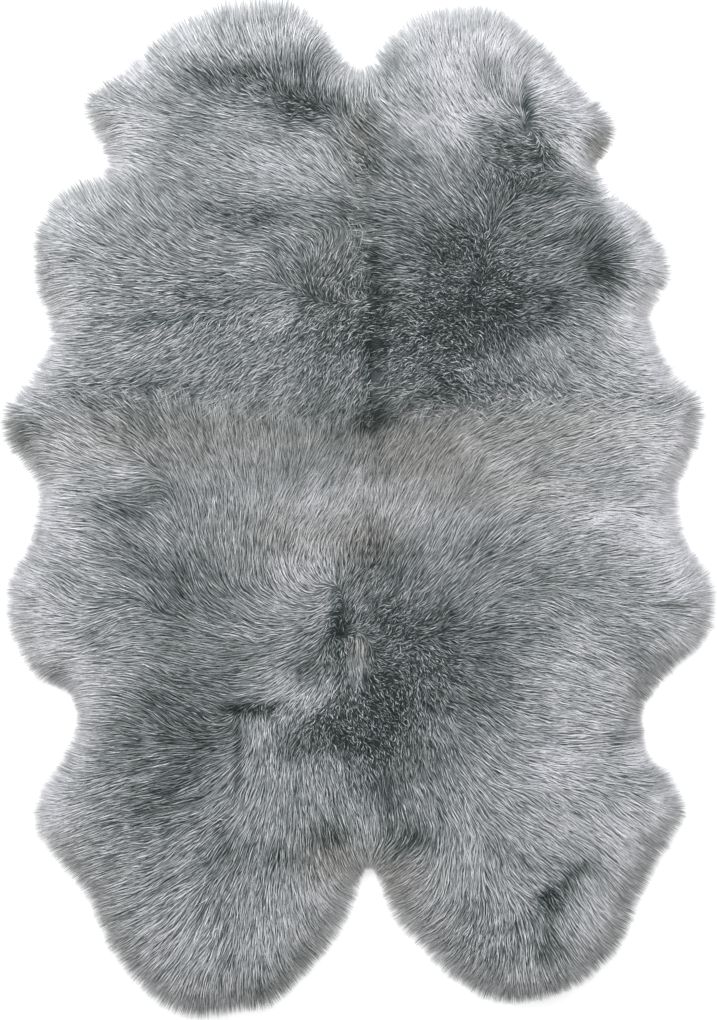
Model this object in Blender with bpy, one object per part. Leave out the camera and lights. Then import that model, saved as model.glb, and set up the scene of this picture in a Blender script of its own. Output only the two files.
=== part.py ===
"""Sheepskin rug of four pelts sewn edge to edge, lying flat with the wool up.

Each pelt is one solid: the skin with its wool as a lumpy slab, flat underneath, that thins to a
rim of pointed locks. The origin is on the floor under the middle of the rug, +Y runs up its
length towards the upper necks and +Z is up. Lengths are in metres.
"""

import math
import random

import bmesh
import bpy
import numpy as np
from mathutils import Vector, noise
from mathutils.geometry import delaunay_2d_cdt

RUG_LENGTH = 1.800          # over the tips of the wool, neck end to neck end
RUG_WIDTH = 1.262           # over the tips of the wool, leg to leg

PILE = 0.044                # hide and standing wool together, away from the rim
RIM_THICK = 0.004           # wool lying on the floor at the outline
RIM_ROUND = 0.085           # over this width the wool falls from PILE to the floor
RIM_FULLNESS = 0.80         # 0.5 is a quarter ellipse, 1 is a plain parabola

SEAM_GAP = 0.0003
SEAM_STEP = 0.021
SEAM_DIP = 0.007
SEAM_DIP_WIDTH = 0.024

LOCK_PITCH = 0.0215
LOCK_LENGTHS = (0.014, 0.022)   # from the outline to the gap between two locks
LOCK_SHORTEST = 0.005       # how far inside the outline a lock's tip may end
LOCK_UNEVEN = 0.25          # share of the pitch that a tip or a gap may stray
LOCK_TIP_THICK = 0.003
LOCK_ROOT_THICK = 0.011
LOCK_RIDGE_INSET = 0.024    # where a lock's ridge runs into the slab
LOCK_GROOVE_INSET = 0.033   # where the groove between two locks runs out
LOCK_SEED = 7

GRID = 0.0205               # spacing of the slab's own points
GRID_SPACING = 0.014        # the nearest that one of them comes to another point
LOCK_SPACING = 0.008        # the same for the points behind the locks
LEAST_INSET = 0.020         # the nearest that they come to the outline
PARTING_STEP = 0.012
PARTING_SPACING = 0.006
CURVE_STEPS = 10            # points between two rows of a curve
INSIDE_ONLY = 1             # a triangulation that keeps to its outline
MERGE = 1e-7
SHARP_ANGLE = math.radians(70)

TUFT_SIZE = 0.072           # spacing of the tufts that the wool falls into
TUFT_RISE = 0.0095          # from the crease between two tufts to their tops
ROLL_SIZE = 0.130           # spacing of the pile's broader rise and fall
ROLL_RISE = 0.0065

WOOL_COLOUR = (0.262, 0.275, 0.280, 1.0)
WOOL_ROUGHNESS = 0.85

# The outline, anticlockwise seen from above, from the seam that a pelt starts at to the seam
# that it ends at. Neighbours share their first and last rows.
# columns: place on the pelt, x, y
RIMS = {
    "upper_left": (
        ("seam", 0.004, 0.774),
        ("cheek", -0.036, 0.820),
        ("neck corner", -0.074, 0.874),
        ("neck", -0.136, 0.900),
        ("neck", -0.240, 0.895),
        ("shoulder", -0.318, 0.863),
        ("shoulder", -0.400, 0.796),
        ("foreleg", -0.446, 0.760),
        ("foreleg", -0.477, 0.743),
        ("foreleg tip", -0.485, 0.708),
        ("foreleg", -0.457, 0.665),
        ("armpit", -0.440, 0.612),
        ("belly", -0.464, 0.587),
        ("belly", -0.521, 0.566),
        ("belly", -0.565, 0.503),
        ("belly", -0.573, 0.421),
        ("flank", -0.552, 0.354),
        ("flank", -0.544, 0.303),
        ("hind leg", -0.573, 0.248),
        ("seam", -0.616, 0.192),
    ),
    "lower_left": (
        ("seam", -0.616, 0.192),
        ("hind leg tip", -0.631, 0.158),
        ("hind leg", -0.606, 0.101),
        ("flank", -0.567, 0.056),
        ("flank", -0.564, 0.005),
        ("belly", -0.582, -0.066),
        ("belly", -0.611, -0.107),
        ("belly", -0.618, -0.150),
        ("belly", -0.616, -0.205),
        ("belly", -0.592, -0.262),
        ("belly corner", -0.550, -0.314),
        ("armpit", -0.513, -0.325),
        ("armpit", -0.497, -0.380),
        ("foreleg", -0.523, -0.450),
        ("foreleg", -0.561, -0.505),
        ("foreleg tip", -0.570, -0.558),
        ("foreleg", -0.543, -0.604),
        ("shoulder", -0.470, -0.700),
        ("shoulder", -0.433, -0.785),
        ("neck corner", -0.346, -0.879),
        ("neck", -0.282, -0.899),
        ("neck", -0.205, -0.886),
        ("neck corner", -0.161, -0.883),
        ("cheek", -0.098, -0.828),
        ("cheek", -0.034, -0.746),
        ("cheek", 0.000, -0.672),
        ("seam", 0.022, -0.638),
    ),
    "lower_right": (
        ("seam", 0.022, -0.638),
        ("cheek", 0.047, -0.674),
        ("cheek", 0.080, -0.734),
        ("cheek", 0.132, -0.793),
        ("neck corner", 0.173, -0.835),
        ("neck", 0.250, -0.873),
        ("neck", 0.324, -0.872),
        ("neck corner", 0.402, -0.837),
        ("shoulder", 0.460, -0.778),
        ("shoulder", 0.483, -0.724),
        ("shoulder", 0.507, -0.664),
        ("foreleg", 0.555, -0.584),
        ("foreleg tip", 0.580, -0.534),
        ("foreleg", 0.552, -0.478),
        ("armpit", 0.508, -0.411),
        ("armpit", 0.504, -0.362),
        ("belly", 0.528, -0.313),
        ("belly", 0.580, -0.264),
        ("belly", 0.618, -0.224),
        ("belly", 0.631, -0.178),
        ("belly", 0.623, -0.116),
        ("belly", 0.592, -0.079),
        ("flank", 0.574, -0.040),
        ("flank", 0.563, 0.038),
        ("hind leg", 0.586, 0.086),
        ("hind leg", 0.607, 0.144),
        ("hind leg tip", 0.614, 0.178),
        ("seam", 0.600, 0.204),
    ),
    "upper_right": (
        ("seam", 0.600, 0.204),
        ("hind leg", 0.555, 0.250),
        ("flank", 0.522, 0.318),
        ("flank", 0.518, 0.357),
        ("belly", 0.545, 0.403),
        ("belly", 0.551, 0.440),
        ("belly", 0.523, 0.495),
        ("belly", 0.491, 0.537),
        ("belly", 0.448, 0.563),
        ("armpit", 0.421, 0.603),
        ("foreleg", 0.440, 0.646),
        ("foreleg tip", 0.452, 0.690),
        ("foreleg", 0.400, 0.751),
        ("shoulder", 0.340, 0.811),
        ("shoulder", 0.295, 0.857),
        ("neck corner", 0.240, 0.894),
        ("neck", 0.150, 0.890),
        ("neck corner", 0.101, 0.878),
        ("cheek", 0.049, 0.832),
        ("cheek", 0.022, 0.788),
        ("seam", 0.004, 0.774),
    ),
}

# The seams, each from the outline to the middle of the rug.
# columns: x, y
SEAMS = {
    "top": (
        (0.004, 0.774),
        (-0.011, 0.640),
        (0.007, 0.479),
        (0.021, 0.319),
        (0.020, 0.158),
    ),
    "left": (
        (-0.616, 0.192),
        (-0.490, 0.202),
        (-0.340, 0.212),
        (-0.180, 0.168),
        (0.020, 0.158),
    ),
    "bottom": (
        (0.022, -0.638),
        (0.018, -0.410),
        (-0.004, -0.232),
        (0.000, -0.090),
        (0.020, 0.158),
    ),
    "right": (
        (0.600, 0.204),
        (0.480, 0.200),
        (0.330, 0.204),
        (0.160, 0.176),
        (0.020, 0.158),
    ),
}

# columns: pelt, seam it starts at, seam it ends at
PELTS = (
    ("upper_left", "top", "left"),
    ("lower_left", "left", "bottom"),
    ("lower_right", "bottom", "right"),
    ("upper_right", "right", "top"),
)

# Partings, where the wool falls open in a crease.
# columns: pelt, depth, width, points along the crease
PARTINGS = (
    ("upper_right", 0.014, 0.016, ((0.292, 0.768), (0.300, 0.720), (0.303, 0.688))),
    ("upper_right", 0.008, 0.018, ((0.432, 0.478), (0.446, 0.430), (0.462, 0.386))),
    ("lower_left", 0.013, 0.015, ((-0.216, -0.388), (-0.214, -0.440), (-0.220, -0.484))),
    ("lower_left", 0.011, 0.017, ((-0.214, -0.352), (-0.178, -0.358), (-0.136, -0.348))),
    ("lower_left", 0.009, 0.018, ((-0.052, -0.150), (-0.050, -0.205), (-0.040, -0.262))),
    ("lower_right", 0.013, 0.018, ((0.332, -0.706), (0.346, -0.678), (0.400, -0.640))),
    ("lower_right", 0.009, 0.015, ((0.246, -0.742), (0.292, -0.736))),
    ("lower_right", 0.008, 0.014, ((0.556, -0.168), (0.578, -0.176), (0.604, -0.164))),
)

# Broad swells of thick wool and hollows of short wool.
# columns: x, y, radius, rise
SWELLS = (
    (-0.300, 0.470, 0.190, 0.005),
    (-0.200, 0.850, 0.080, 0.004),
    (-0.090, 0.730, 0.070, -0.007),
    (-0.190, 0.520, 0.060, -0.004),
    (0.130, 0.780, 0.120, 0.005),
    (0.290, 0.640, 0.070, -0.006),
    (0.230, 0.400, 0.130, -0.008),
    (0.440, 0.420, 0.060, -0.006),
    (0.400, 0.270, 0.090, 0.004),
    (-0.160, 0.020, 0.160, 0.006),
    (-0.410, -0.030, 0.090, -0.003),
    (-0.530, -0.120, 0.080, 0.004),
    (-0.330, -0.470, 0.110, -0.005),
    (-0.190, -0.700, 0.150, 0.005),
    (0.030, -0.330, 0.110, -0.007),
    (0.140, 0.020, 0.150, 0.005),
    (0.370, -0.430, 0.140, 0.005),
    (0.190, -0.640, 0.100, 0.004),
    (0.090, -0.580, 0.050, -0.005),
)


def smooth_curve(rows, steps=CURVE_STEPS):
    """Points of a Catmull-Rom curve through the rows' places, both ends included."""
    places = np.array([row[-2:] for row in rows])
    ends = np.vstack([2 * places[0] - places[1], places, 2 * places[-1] - places[-2]])
    share = np.arange(steps)[:, None] / steps
    spans = []
    for before, start, end, after in zip(ends, ends[1:], ends[2:], ends[3:]):
        spans.append(
            start
            + 0.5 * share * (end - before)
            + share**2 * (before - 2.5 * start + 2 * end - 0.5 * after)
            + share**3 * (1.5 * (start - end) + 0.5 * (after - before))
        )
    return np.vstack(spans + [places[-1:]])


def run_of(line):
    """How far along the line each of its points lies."""
    return np.concatenate([[0], np.cumsum(np.hypot(*np.diff(line, axis=0).T))])


def at_run(line, runs):
    """The places at these distances along the line, and the line's left-hand normals there."""
    measured = run_of(line)
    place = np.column_stack([np.interp(runs, measured, line[:, axis]) for axis in (0, 1)])
    slopes = np.gradient(line, measured, axis=0)
    slope = np.column_stack([np.interp(runs, measured, slopes[:, axis]) for axis in (0, 1)])
    slope /= np.hypot(*slope.T)[:, None]
    return place, np.column_stack([-slope[:, 1], slope[:, 0]])


def distance_to(line, places):
    """How far each place lies from the line."""
    start, step = line[:-1], np.diff(line, axis=0)
    offset = places[:, None] - start
    share = np.clip((offset * step).sum(2) / (step**2).sum(1), 0, 1)
    return np.hypot(*np.moveaxis(offset - share[..., None] * step, 2, 0)).min(1)


def inside(loop, places):
    """Whether each place is inside the closed loop, by counting its crossings to the right."""
    x, y = places[:, :1], places[:, 1:]
    start, end = loop, np.roll(loop, -1, axis=0)
    spans = (start[:, 1] > y) != (end[:, 1] > y)
    rise = np.where(end[:, 1] == start[:, 1], 1, end[:, 1] - start[:, 1])
    crossing = start[:, 0] + (y - start[:, 1]) * (end[:, 0] - start[:, 0]) / rise
    return (spans & (crossing > x)).sum(1) % 2 == 1


RIM_CURVES = {pelt: smooth_curve(rows) for pelt, rows in RIMS.items()}
WHOLE_RIM = np.vstack([curve[:-1] for curve in RIM_CURVES.values()])
WHOLE_RIM = np.vstack([WHOLE_RIM, WHOLE_RIM[:1]])
SEAM_CURVES = {seam: smooth_curve(rows) for seam, rows in SEAMS.items()}


def uneven(places, size):
    """A smooth rise and fall about zero at each place, with lumps of this size."""
    return np.array([noise.noise(Vector((x / size, y / size, size))) for x, y in places])


def wool_height(places):
    """Height of the wool above the floor at each place inside the outline."""
    fall = np.clip(distance_to(WHOLE_RIM, places) / RIM_ROUND, 0, 1)
    height = RIM_THICK + (PILE - RIM_THICK) * (1 - (1 - fall) ** 2) ** RIM_FULLNESS
    for x, y, radius, rise in SWELLS:
        off = np.hypot(places[:, 0] - x, places[:, 1] - y) / radius
        height += rise * fall * np.exp(-(off**2))
    height += ROLL_RISE * fall * uneven(places, ROLL_SIZE)
    height += TUFT_RISE * fall * (2 * np.abs(uneven(places, TUFT_SIZE)) - 0.5)
    for seam in SEAM_CURVES.values():
        off = distance_to(seam, places) / SEAM_DIP_WIDTH
        height -= SEAM_DIP * fall * np.exp(-(off**2))
    for _, depth, width, points in PARTINGS:
        off = distance_to(np.array(points), places) / width
        height -= depth * np.exp(-(off**2))
    return height


def rim_locks(curve, draw):
    """The rim as a run of pointed locks: its points, their heights, and points just inside it.

    The points inside lie behind each lock, for its ridge, and behind each gap, for its groove.
    """
    length = run_of(curve)[-1]
    count = round(length / LOCK_PITCH)
    pitch = length / count
    centres = (np.arange(count) + 0.5) * pitch
    gaps = np.arange(1, count) * pitch
    gaps += np.array([draw.uniform(-LOCK_UNEVEN, LOCK_UNEVEN) for _ in gaps]) * pitch
    leans = np.array([draw.uniform(-LOCK_UNEVEN, LOCK_UNEVEN) for _ in centres]) * pitch
    short = np.array([draw.uniform(0, LOCK_SHORTEST) for _ in centres])
    depth = np.array([draw.uniform(*LOCK_LENGTHS) for _ in gaps])
    tips, inward = at_run(curve, centres + leans)
    tips = tips + inward * short[:, None]
    roots, inward = at_run(curve, gaps)
    grooves = roots + inward * LOCK_GROOVE_INSET
    roots = roots + inward * depth[:, None]
    ridges, inward = at_run(curve, centres)
    ridges = ridges + inward * LOCK_RIDGE_INSET
    points = np.empty((2 * count - 1, 2))
    points[0::2], points[1::2] = tips, roots
    heights = np.full(len(points), LOCK_TIP_THICK)
    heights[1::2] = LOCK_ROOT_THICK
    return points, heights, np.vstack([ridges, grooves])


def seam_edge(seam, side):
    """A pelt's edge along a seam, rim to middle, half the gap off on side 1 (left) or -1."""
    curve = SEAM_CURVES[seam]
    length = run_of(curve)[-1]
    places, normal = at_run(curve, np.linspace(0, length, round(length / SEAM_STEP) + 1))
    return places + normal * side * SEAM_GAP / 2, places, normal


def spaced(chosen, candidates, gap):
    """The candidates that keep this gap to the chosen points and to each other."""
    kept = list(chosen)
    added = []
    for place in candidates:
        if np.hypot(*(np.array(kept) - place).T).min() > gap:
            kept.append(place)
            added.append(place)
    return np.array(added).reshape(-1, 2)


def hexagonal_grid(low, high):
    """Evenly spread points over the box from low to high, every second row set half way."""
    rows = np.arange(low[1], high[1], GRID * math.sqrt(3) / 2)
    grid = []
    for number, y in enumerate(rows):
        x = np.arange(low[0], high[0], GRID) + (number % 2) * GRID / 2
        grid.append(np.column_stack([x, np.full(len(x), y)]))
    return np.vstack(grid)


def pelt_outline(pelt, first_seam, last_seam, draw):
    """The pelt's closed outline anticlockwise, its points' heights, and the points behind it."""
    locks, lock_heights, behind = rim_locks(RIM_CURVES[pelt], draw)
    back, back_line, _ = seam_edge(last_seam, 1)
    out, out_line, out_normal = seam_edge(first_seam, -1)
    middle = back[-1] - out_normal[-1] * SEAM_GAP / 2
    edge = np.vstack([back[:-1], middle[None], out[-2::-1]])
    line = np.vstack([back_line, out_line[-2::-1]])
    edge_heights = np.maximum(wool_height(line), LOCK_ROOT_THICK)
    loop = np.vstack([locks, edge])
    return loop, np.concatenate([lock_heights, edge_heights]), behind


def slab_points(pelt, loop, behind):
    """Points inside the outline that carry the slab's form: the locks', the partings', a grid."""
    room = inside(loop, behind) & (distance_to(WHOLE_RIM, behind) > LEAST_INSET)
    points = spaced(loop, behind[room], LOCK_SPACING)
    for place, _, _, crease in PARTINGS:
        if place == pelt:
            line = np.array(crease)
            length = run_of(line)[-1]
            along, _ = at_run(line, np.linspace(0, length, round(length / PARTING_STEP) + 1))
            fresh = spaced(np.vstack([loop, points]), along, PARTING_SPACING)
            points = np.vstack([points, fresh])
    grid = hexagonal_grid(loop.min(0), loop.max(0))
    deep = distance_to(WHOLE_RIM, grid) > LOCK_GROOVE_INSET + LOCK_SPACING
    grid = grid[inside(loop, grid) & deep]
    fresh = spaced(np.vstack([loop, points]), grid, GRID_SPACING)
    return np.vstack([points, fresh])


def slab_mesh(name, loop, loop_heights, points):
    """A closed solid: the outline and its points raised from a flat underside."""
    heights = np.concatenate([loop_heights, wool_height(points)])
    flat = [Vector(place) for place in np.vstack([loop, points])]
    ring = list(range(len(loop)))
    places, _, faces, sources, _, _ = delaunay_2d_cdt(flat, [], [ring], INSIDE_ONLY, MERGE)
    shape = bmesh.new()
    wool = shape.verts.layers.float.new("wool")
    floor = []
    for place, source in zip(places, sources):
        vert = shape.verts.new((place.x, place.y, 0))
        vert[wool] = heights[source[0]]
        floor.append(vert)
    for face in faces:
        shape.faces.new([floor[corner] for corner in face])
    underside = shape.faces[:]
    raised = bmesh.ops.extrude_face_region(shape, geom=underside, use_keep_orig=True)
    for item in raised["geom"]:
        if isinstance(item, bmesh.types.BMVert):
            item.co.z = item[wool]
    bmesh.ops.dissolve_faces(shape, faces=underside)
    bmesh.ops.recalc_face_normals(shape, faces=shape.faces[:])
    bmesh.ops.triangulate(shape, faces=[face for face in shape.faces if len(face.verts) > 3])
    mesh = bpy.data.meshes.new(name)
    shape.to_mesh(mesh)
    shape.free()
    mesh.shade_smooth()
    mesh.set_sharp_from_angle(angle=SHARP_ANGLE)
    return mesh


def wool_material():
    material = bpy.data.materials.new("blue_grey_wool")
    material.use_nodes = True
    shader = material.node_tree.nodes["Principled BSDF"]
    shader.inputs["Base Color"].default_value = WOOL_COLOUR
    shader.inputs["Roughness"].default_value = WOOL_ROUGHNESS
    shader.inputs["Metallic"].default_value = 0.0
    material.diffuse_color = WOOL_COLOUR
    return material


def fit_to_size(meshes):
    """Centres the rug over the origin and brings it to its length and width."""
    places = np.vstack([[vert.co[:2] for vert in mesh.vertices] for mesh in meshes])
    low, high = places.min(0), places.max(0)
    scale = np.array([RUG_WIDTH, RUG_LENGTH]) / (high - low)
    middle = (low + high) / 2
    for mesh in meshes:
        for vert in mesh.vertices:
            vert.co.x = (vert.co.x - middle[0]) * scale[0]
            vert.co.y = (vert.co.y - middle[1]) * scale[1]


def main():
    for obj in list(bpy.data.objects):
        bpy.data.objects.remove(obj, do_unlink=True)
    draw = random.Random(LOCK_SEED)
    wool = wool_material()
    meshes = []
    for pelt, first_seam, last_seam in PELTS:
        loop, heights, behind = pelt_outline(pelt, first_seam, last_seam, draw)
        mesh = slab_mesh("pelt_" + pelt, loop, heights, slab_points(pelt, loop, behind))
        mesh.materials.append(wool)
        bpy.context.scene.collection.objects.link(bpy.data.objects.new(mesh.name, mesh))
        meshes.append(mesh)
    fit_to_size(meshes)


main()
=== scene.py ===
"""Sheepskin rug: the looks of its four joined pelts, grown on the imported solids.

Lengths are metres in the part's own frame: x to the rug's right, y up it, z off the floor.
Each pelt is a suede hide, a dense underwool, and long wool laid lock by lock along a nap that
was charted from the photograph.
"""

import math
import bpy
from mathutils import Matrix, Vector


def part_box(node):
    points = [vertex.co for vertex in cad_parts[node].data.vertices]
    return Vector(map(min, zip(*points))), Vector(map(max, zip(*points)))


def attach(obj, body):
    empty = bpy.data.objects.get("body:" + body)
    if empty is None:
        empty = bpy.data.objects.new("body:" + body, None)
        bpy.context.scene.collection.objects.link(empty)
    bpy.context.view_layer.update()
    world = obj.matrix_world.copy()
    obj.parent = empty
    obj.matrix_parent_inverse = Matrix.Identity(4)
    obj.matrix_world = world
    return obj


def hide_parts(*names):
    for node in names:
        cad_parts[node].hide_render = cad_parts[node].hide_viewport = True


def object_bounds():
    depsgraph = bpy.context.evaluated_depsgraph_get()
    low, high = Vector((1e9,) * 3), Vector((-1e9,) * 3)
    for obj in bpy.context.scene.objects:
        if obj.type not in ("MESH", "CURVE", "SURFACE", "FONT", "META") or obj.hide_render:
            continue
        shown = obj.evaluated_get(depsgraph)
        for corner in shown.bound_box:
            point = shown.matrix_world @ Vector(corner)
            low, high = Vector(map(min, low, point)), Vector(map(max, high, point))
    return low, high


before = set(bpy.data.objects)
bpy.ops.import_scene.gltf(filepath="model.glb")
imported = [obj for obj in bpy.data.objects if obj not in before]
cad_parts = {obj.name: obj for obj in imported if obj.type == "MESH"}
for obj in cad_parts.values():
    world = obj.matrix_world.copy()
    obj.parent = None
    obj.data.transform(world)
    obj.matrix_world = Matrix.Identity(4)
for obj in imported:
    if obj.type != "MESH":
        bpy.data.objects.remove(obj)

from types import SimpleNamespace

import bmesh
import bpy
import numpy as np
from mathutils import Vector, kdtree, noise
from mathutils.bvhtree import BVHTree

solid_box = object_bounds()

PELTS = ("upper_left", "lower_left", "lower_right", "upper_right")

# Seeds: the rug's own, and the number that the wool pieces are counted from
SEED = 11
WOOL_SEED = 100

# A length too small to matter, a height above the rug, and a distance past every line's
# reach
TINY = 1e-9
ABOVE_ALL = 1.0
FAR_OFF = 1.0

# The map of the solids, seen from above. The smoothings are numbers of passes, and the
# last place that can be read is this many cells short of the map's size.
CELL = 0.003
MAP_MARGIN = 0.030
LAST_PLACE = 1.001
SMOOTH_HEIGHTS = 2
SMOOTH_RIM = 12
SMOOTH_OUTWARD = 36

# The layers of noise that keep the rug's unevennesses apart
WAVE_LAYER = 0
CLOUD_LAYER = 7.5
SEAM_LAYERS = (20.5, 30.5)
LINE_LAYERS = (40.5, 50.5)
TUFT_LAYER = 60.5

# Points are scattered by up to this share of their pitch
SCATTER = 0.45

# Locks: the tufts that the wool gathers into. CURL_ values are those of curly wool.
LOCK_PITCH = 0.0065
LOCK_REACH = 0.037
LOCK_UNEVEN = 0.18
LOCK_UNEVEN_RANGE = (0.5, 1.5)
LOCK_STRAY = math.radians(3)
CURL_REACH = 0.31
CURL_STRAY = math.radians(14)
CURL_BEND = math.radians(40)
BEND = math.radians(10)

# Waves of the nap: their size, and how far they turn straight wool and, added to that,
# curly wool. Rough wool is turned as if it were this much curlier.
WAVES = (
    (0.070, math.radians(8), math.radians(10)),
    (0.020, math.radians(18), math.radians(30)),
    (0.009, math.radians(10), math.radians(38)),
)
ROUGH_TURN = 0.50

# Strands: ribbons as wide as a small bundle of fibres. Their middles are found at four
# stations from root to tip, and their widths at all of these but the tip.
STRAND_PITCH = 0.00292
LONG_SHARE = 0.72
STRAND_WIDTH = 0.00108
WIDTH_RANGE = (0.75, 1.25)
CURL_FINE = 0.12
REACH_RANGE = (0.75, 1.12)
STRAND_STRAY = math.radians(3)
LOOSE_SHARE = 0.05
LOOSE_STRAY = math.radians(16)
GATHER = 0.12
GATHER_POWER = 1.4
START_BACK = 0.35
ROLL = math.radians(24)
STATIONS = (0.0, 0.30, 0.65, 1.0)
STATION_WIDTHS = (0.60, 1.0, 0.85)
STATION_LIFTS = (None, -0.0022, 0.0, -0.0010)
ROOT_DEPTH = 0.42
ROOT_LEAST = 0.0025
RANK = 0.0010
CURL_RANK = 0.0012
TUFT_RISE = 0.004
FLOOR_LEAST = 0.0014
FLOOR_SPRAY = 0.0050

# The rim, where the wool falls outwards to the floor: first its depths, then its amounts
RIM_TURN = 0.024
RIM_CALM = 0.026
RIM_EVEN = 0.045
RIM_SKIP = 0.0020
RIM_TURN_MOST = 0.75
RIM_GATHER = 1.0
RIM_FINE = 0.20
RIM_SLEEK = 0.5
RIM_OVERHANG = 0.0150
RIM_OVERHANG_MORE = 0.0036
RIM_LONGER = 0.50
RIM_REACH_MORE = 0.2
RIM_TRIMS = 4
TRIM_LEAST = 0.3

# Sleek wool: how far it calms the streaks, evens the shades and thins the strands
SLEEK_LEAST = -0.8
SLEEK_CALM = 0.66
SLEEK_EVEN = 0.45
SLEEK_FINE = 0.35

# Shades, where 0 is the darkest wool and 1 the palest. Besides the wool's own tone they carry
# painted light: strands lying higher are paler than deeper ones, and the rim is paler on the
# side facing the light, darker on the far side, and paler all round, most on its upper side.
SHADE_RANGE = (0.02, 0.98)
SHADE_BASE = 0.558
SHADE_LOCK = 0.018
SHADE_STRAND = 0.074
SHADE_SPREAD = 1.7
RANK_PAINTED_SHADE = 0.032
CURL_TONE_AND_PAINTED_SHADE = 0.110
SHADE_CLOUDS = ((0.110, 0.065), (0.030, 0.072), (0.013, 0.030))
# Painted light on the rim: paler where it faces the light and darker on the far side, with the
# way to the light in x and y
RIM_PAINTED_LIT_SIDE = 0.05
SHADE_RIM_DEPTH = 0.040
LIT_FROM = (-0.6, 0.8)
CURL_TUFT_SIZE = 0.017
CURL_TUFT_SHADE = 0.16
# Painted light: the rim's wool paler all round, and most on its upper side, which faces the
# light
RIM_PAINTED_LIGHT = 0.095
RIM_PAINTED_LIGHT_DEPTH = 0.018
RIM_PAINTED_LIGHT_ALL = 0.75
RIM_PAINTED_LIGHT_UPPER = 0.35
RIM_WARMTH = 0.5
RIM_WARM_BELOW = 0.5

# Streaks along the nap: their cell, half their length in cells, and how much they shade
# straight wool and curly wool. Paler streaks also stand higher, so the streaks are partly the
# wool's uneven tone and partly painted highlights on the top fibres with painted shade between
# them
STREAKS = (
    (0.0011, 12, 0.220, 0.000),
    (0.0011, 2, 0.000, 0.280),
    (0.0032, 6, 0.015, 0.025),
    (0.0085, 4, 0.030, 0.015),
)
GRAIN_BLUR = 2

# Gaps between the locks, where a streak is darker than this many spreads: sunk lower and
# darkened with painted shade
GAP_CELL = 0.0016
GAP_STEPS = 13
GAP_FROM = 1.1
GAP_PAINTED_SHADE = 0.20
GAP_DEPTH = 0.0025

# Underwool and hide
SHEET_TRIMS = 3
SHEET_SLOPE_LEAST = 0.3
SEAM_INSET = 0.0008
UNDERWOOL_CELL = 0.0115
UNDERWOOL_INSET = 0.016
UNDERWOOL_DROP = 0.010
UNDERWOOL_FOOT = 0.0026
UNDERWOOL_THIN = 0.001
LUMPS_PER_METRE = 60
LUMP_RISE = 0.0018
HIDE_CELL = 0.0125
HIDE_INSET = 0.030
HIDE_THICK = 0.0024

# Colours, as in the photograph from 0 to 255: the place on a ramp, then the colour
COOL_WOOL = (
    (0.00, (28, 38, 38)),
    (0.22, (80, 90, 90)),
    (0.50, (147, 151, 152)),
    (0.75, (198, 199, 203)),
    (1.00, (238, 237, 244)),
)
WARM_WOOL = (
    (0.00, (38, 39, 37)),
    (0.22, (90, 92, 88)),
    (0.50, (152, 152, 149)),
    (0.75, (200, 199, 198)),
    (1.00, (238, 237, 239)),
)
SUEDE = (
    (0.30, (146, 142, 138)),
    (0.50, (176, 173, 168)),
    (0.72, (198, 196, 192)),
)
FLOOR_PAINT = ((0.3, (0.88, 0.88, 0.88)), (0.7, (0.90, 0.90, 0.90)))

# The colour along a strand: how much of its shade its root and its tip show, how far along it
# is fully lit, and how much its edges and fibres change the shade. The darker root is partly
# the frosted dye and partly painted shade deep in the pile; the darker edges are painted
# shade, as on a round lock
ROOT_LIT = 0.48
TIP_LIT = 0.92
LIT_BY = 0.55
EDGE_PAINTED_SHADE = 0.45
FIBRE_SHADE = 0.22
WOOL_ROUGHNESS = (0.78, 0.52)

# The suede: its roughness, and how much its colour comes from the mottling
SUEDE_ROUGHNESS = (0.82, 0.96)
MOTTLE_SHARE = 0.7

# Each material's plain colour for solid view, the first three as in the photograph
WOOL_PLAIN = (139, 142, 143)
UNDERWOOL_PLAIN = (82, 90, 90)
SUEDE_PLAIN = (176, 173, 168)
FLOOR_PLAIN = (0.9, 0.9, 0.9)

# Grain: how many lumps of noise there are across a strand and along it, and how many to
# the metre elsewhere
FIBRE_STRETCH = (5.0, 0.8, 0.0)
FIBRE_CHANGE = 55.0
TANGLE_FINENESS = 420.0
MOTTLE_FINENESS = 26.0
SUEDE_FINENESS = 900.0
FLOOR_FINENESS = 1.5

# How a flat map of strands is packed for baking: how many times as many columns as rows,
# and the share of each cell left empty at its sides and its ends
BAKE_TALLNESS = 2.6
BAKE_GAP = (0.2, 0.1)

# The studio
FLOOR_SIZE = 12.0
KEY_PLACE = (-0.9, 2.6, 2.3)
KEY_SIZE = 1.6
KEY_WATTS = 95
OVERHEAD_PLACE = (0.0, 0.3, 4.6)
OVERHEAD_SIZE = 3.5
OVERHEAD_WATTS = 120
LAMPS_FACE = (0, 0, 0)
ROOM_COLOR = (0.98, 0.98, 1, 1)
ROOM_LIGHT = 0.55
SENSOR = 36.0
LENS = 79.4
CAMERA_PLACE = (0.0009, -0.0009, 4.03)
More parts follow.
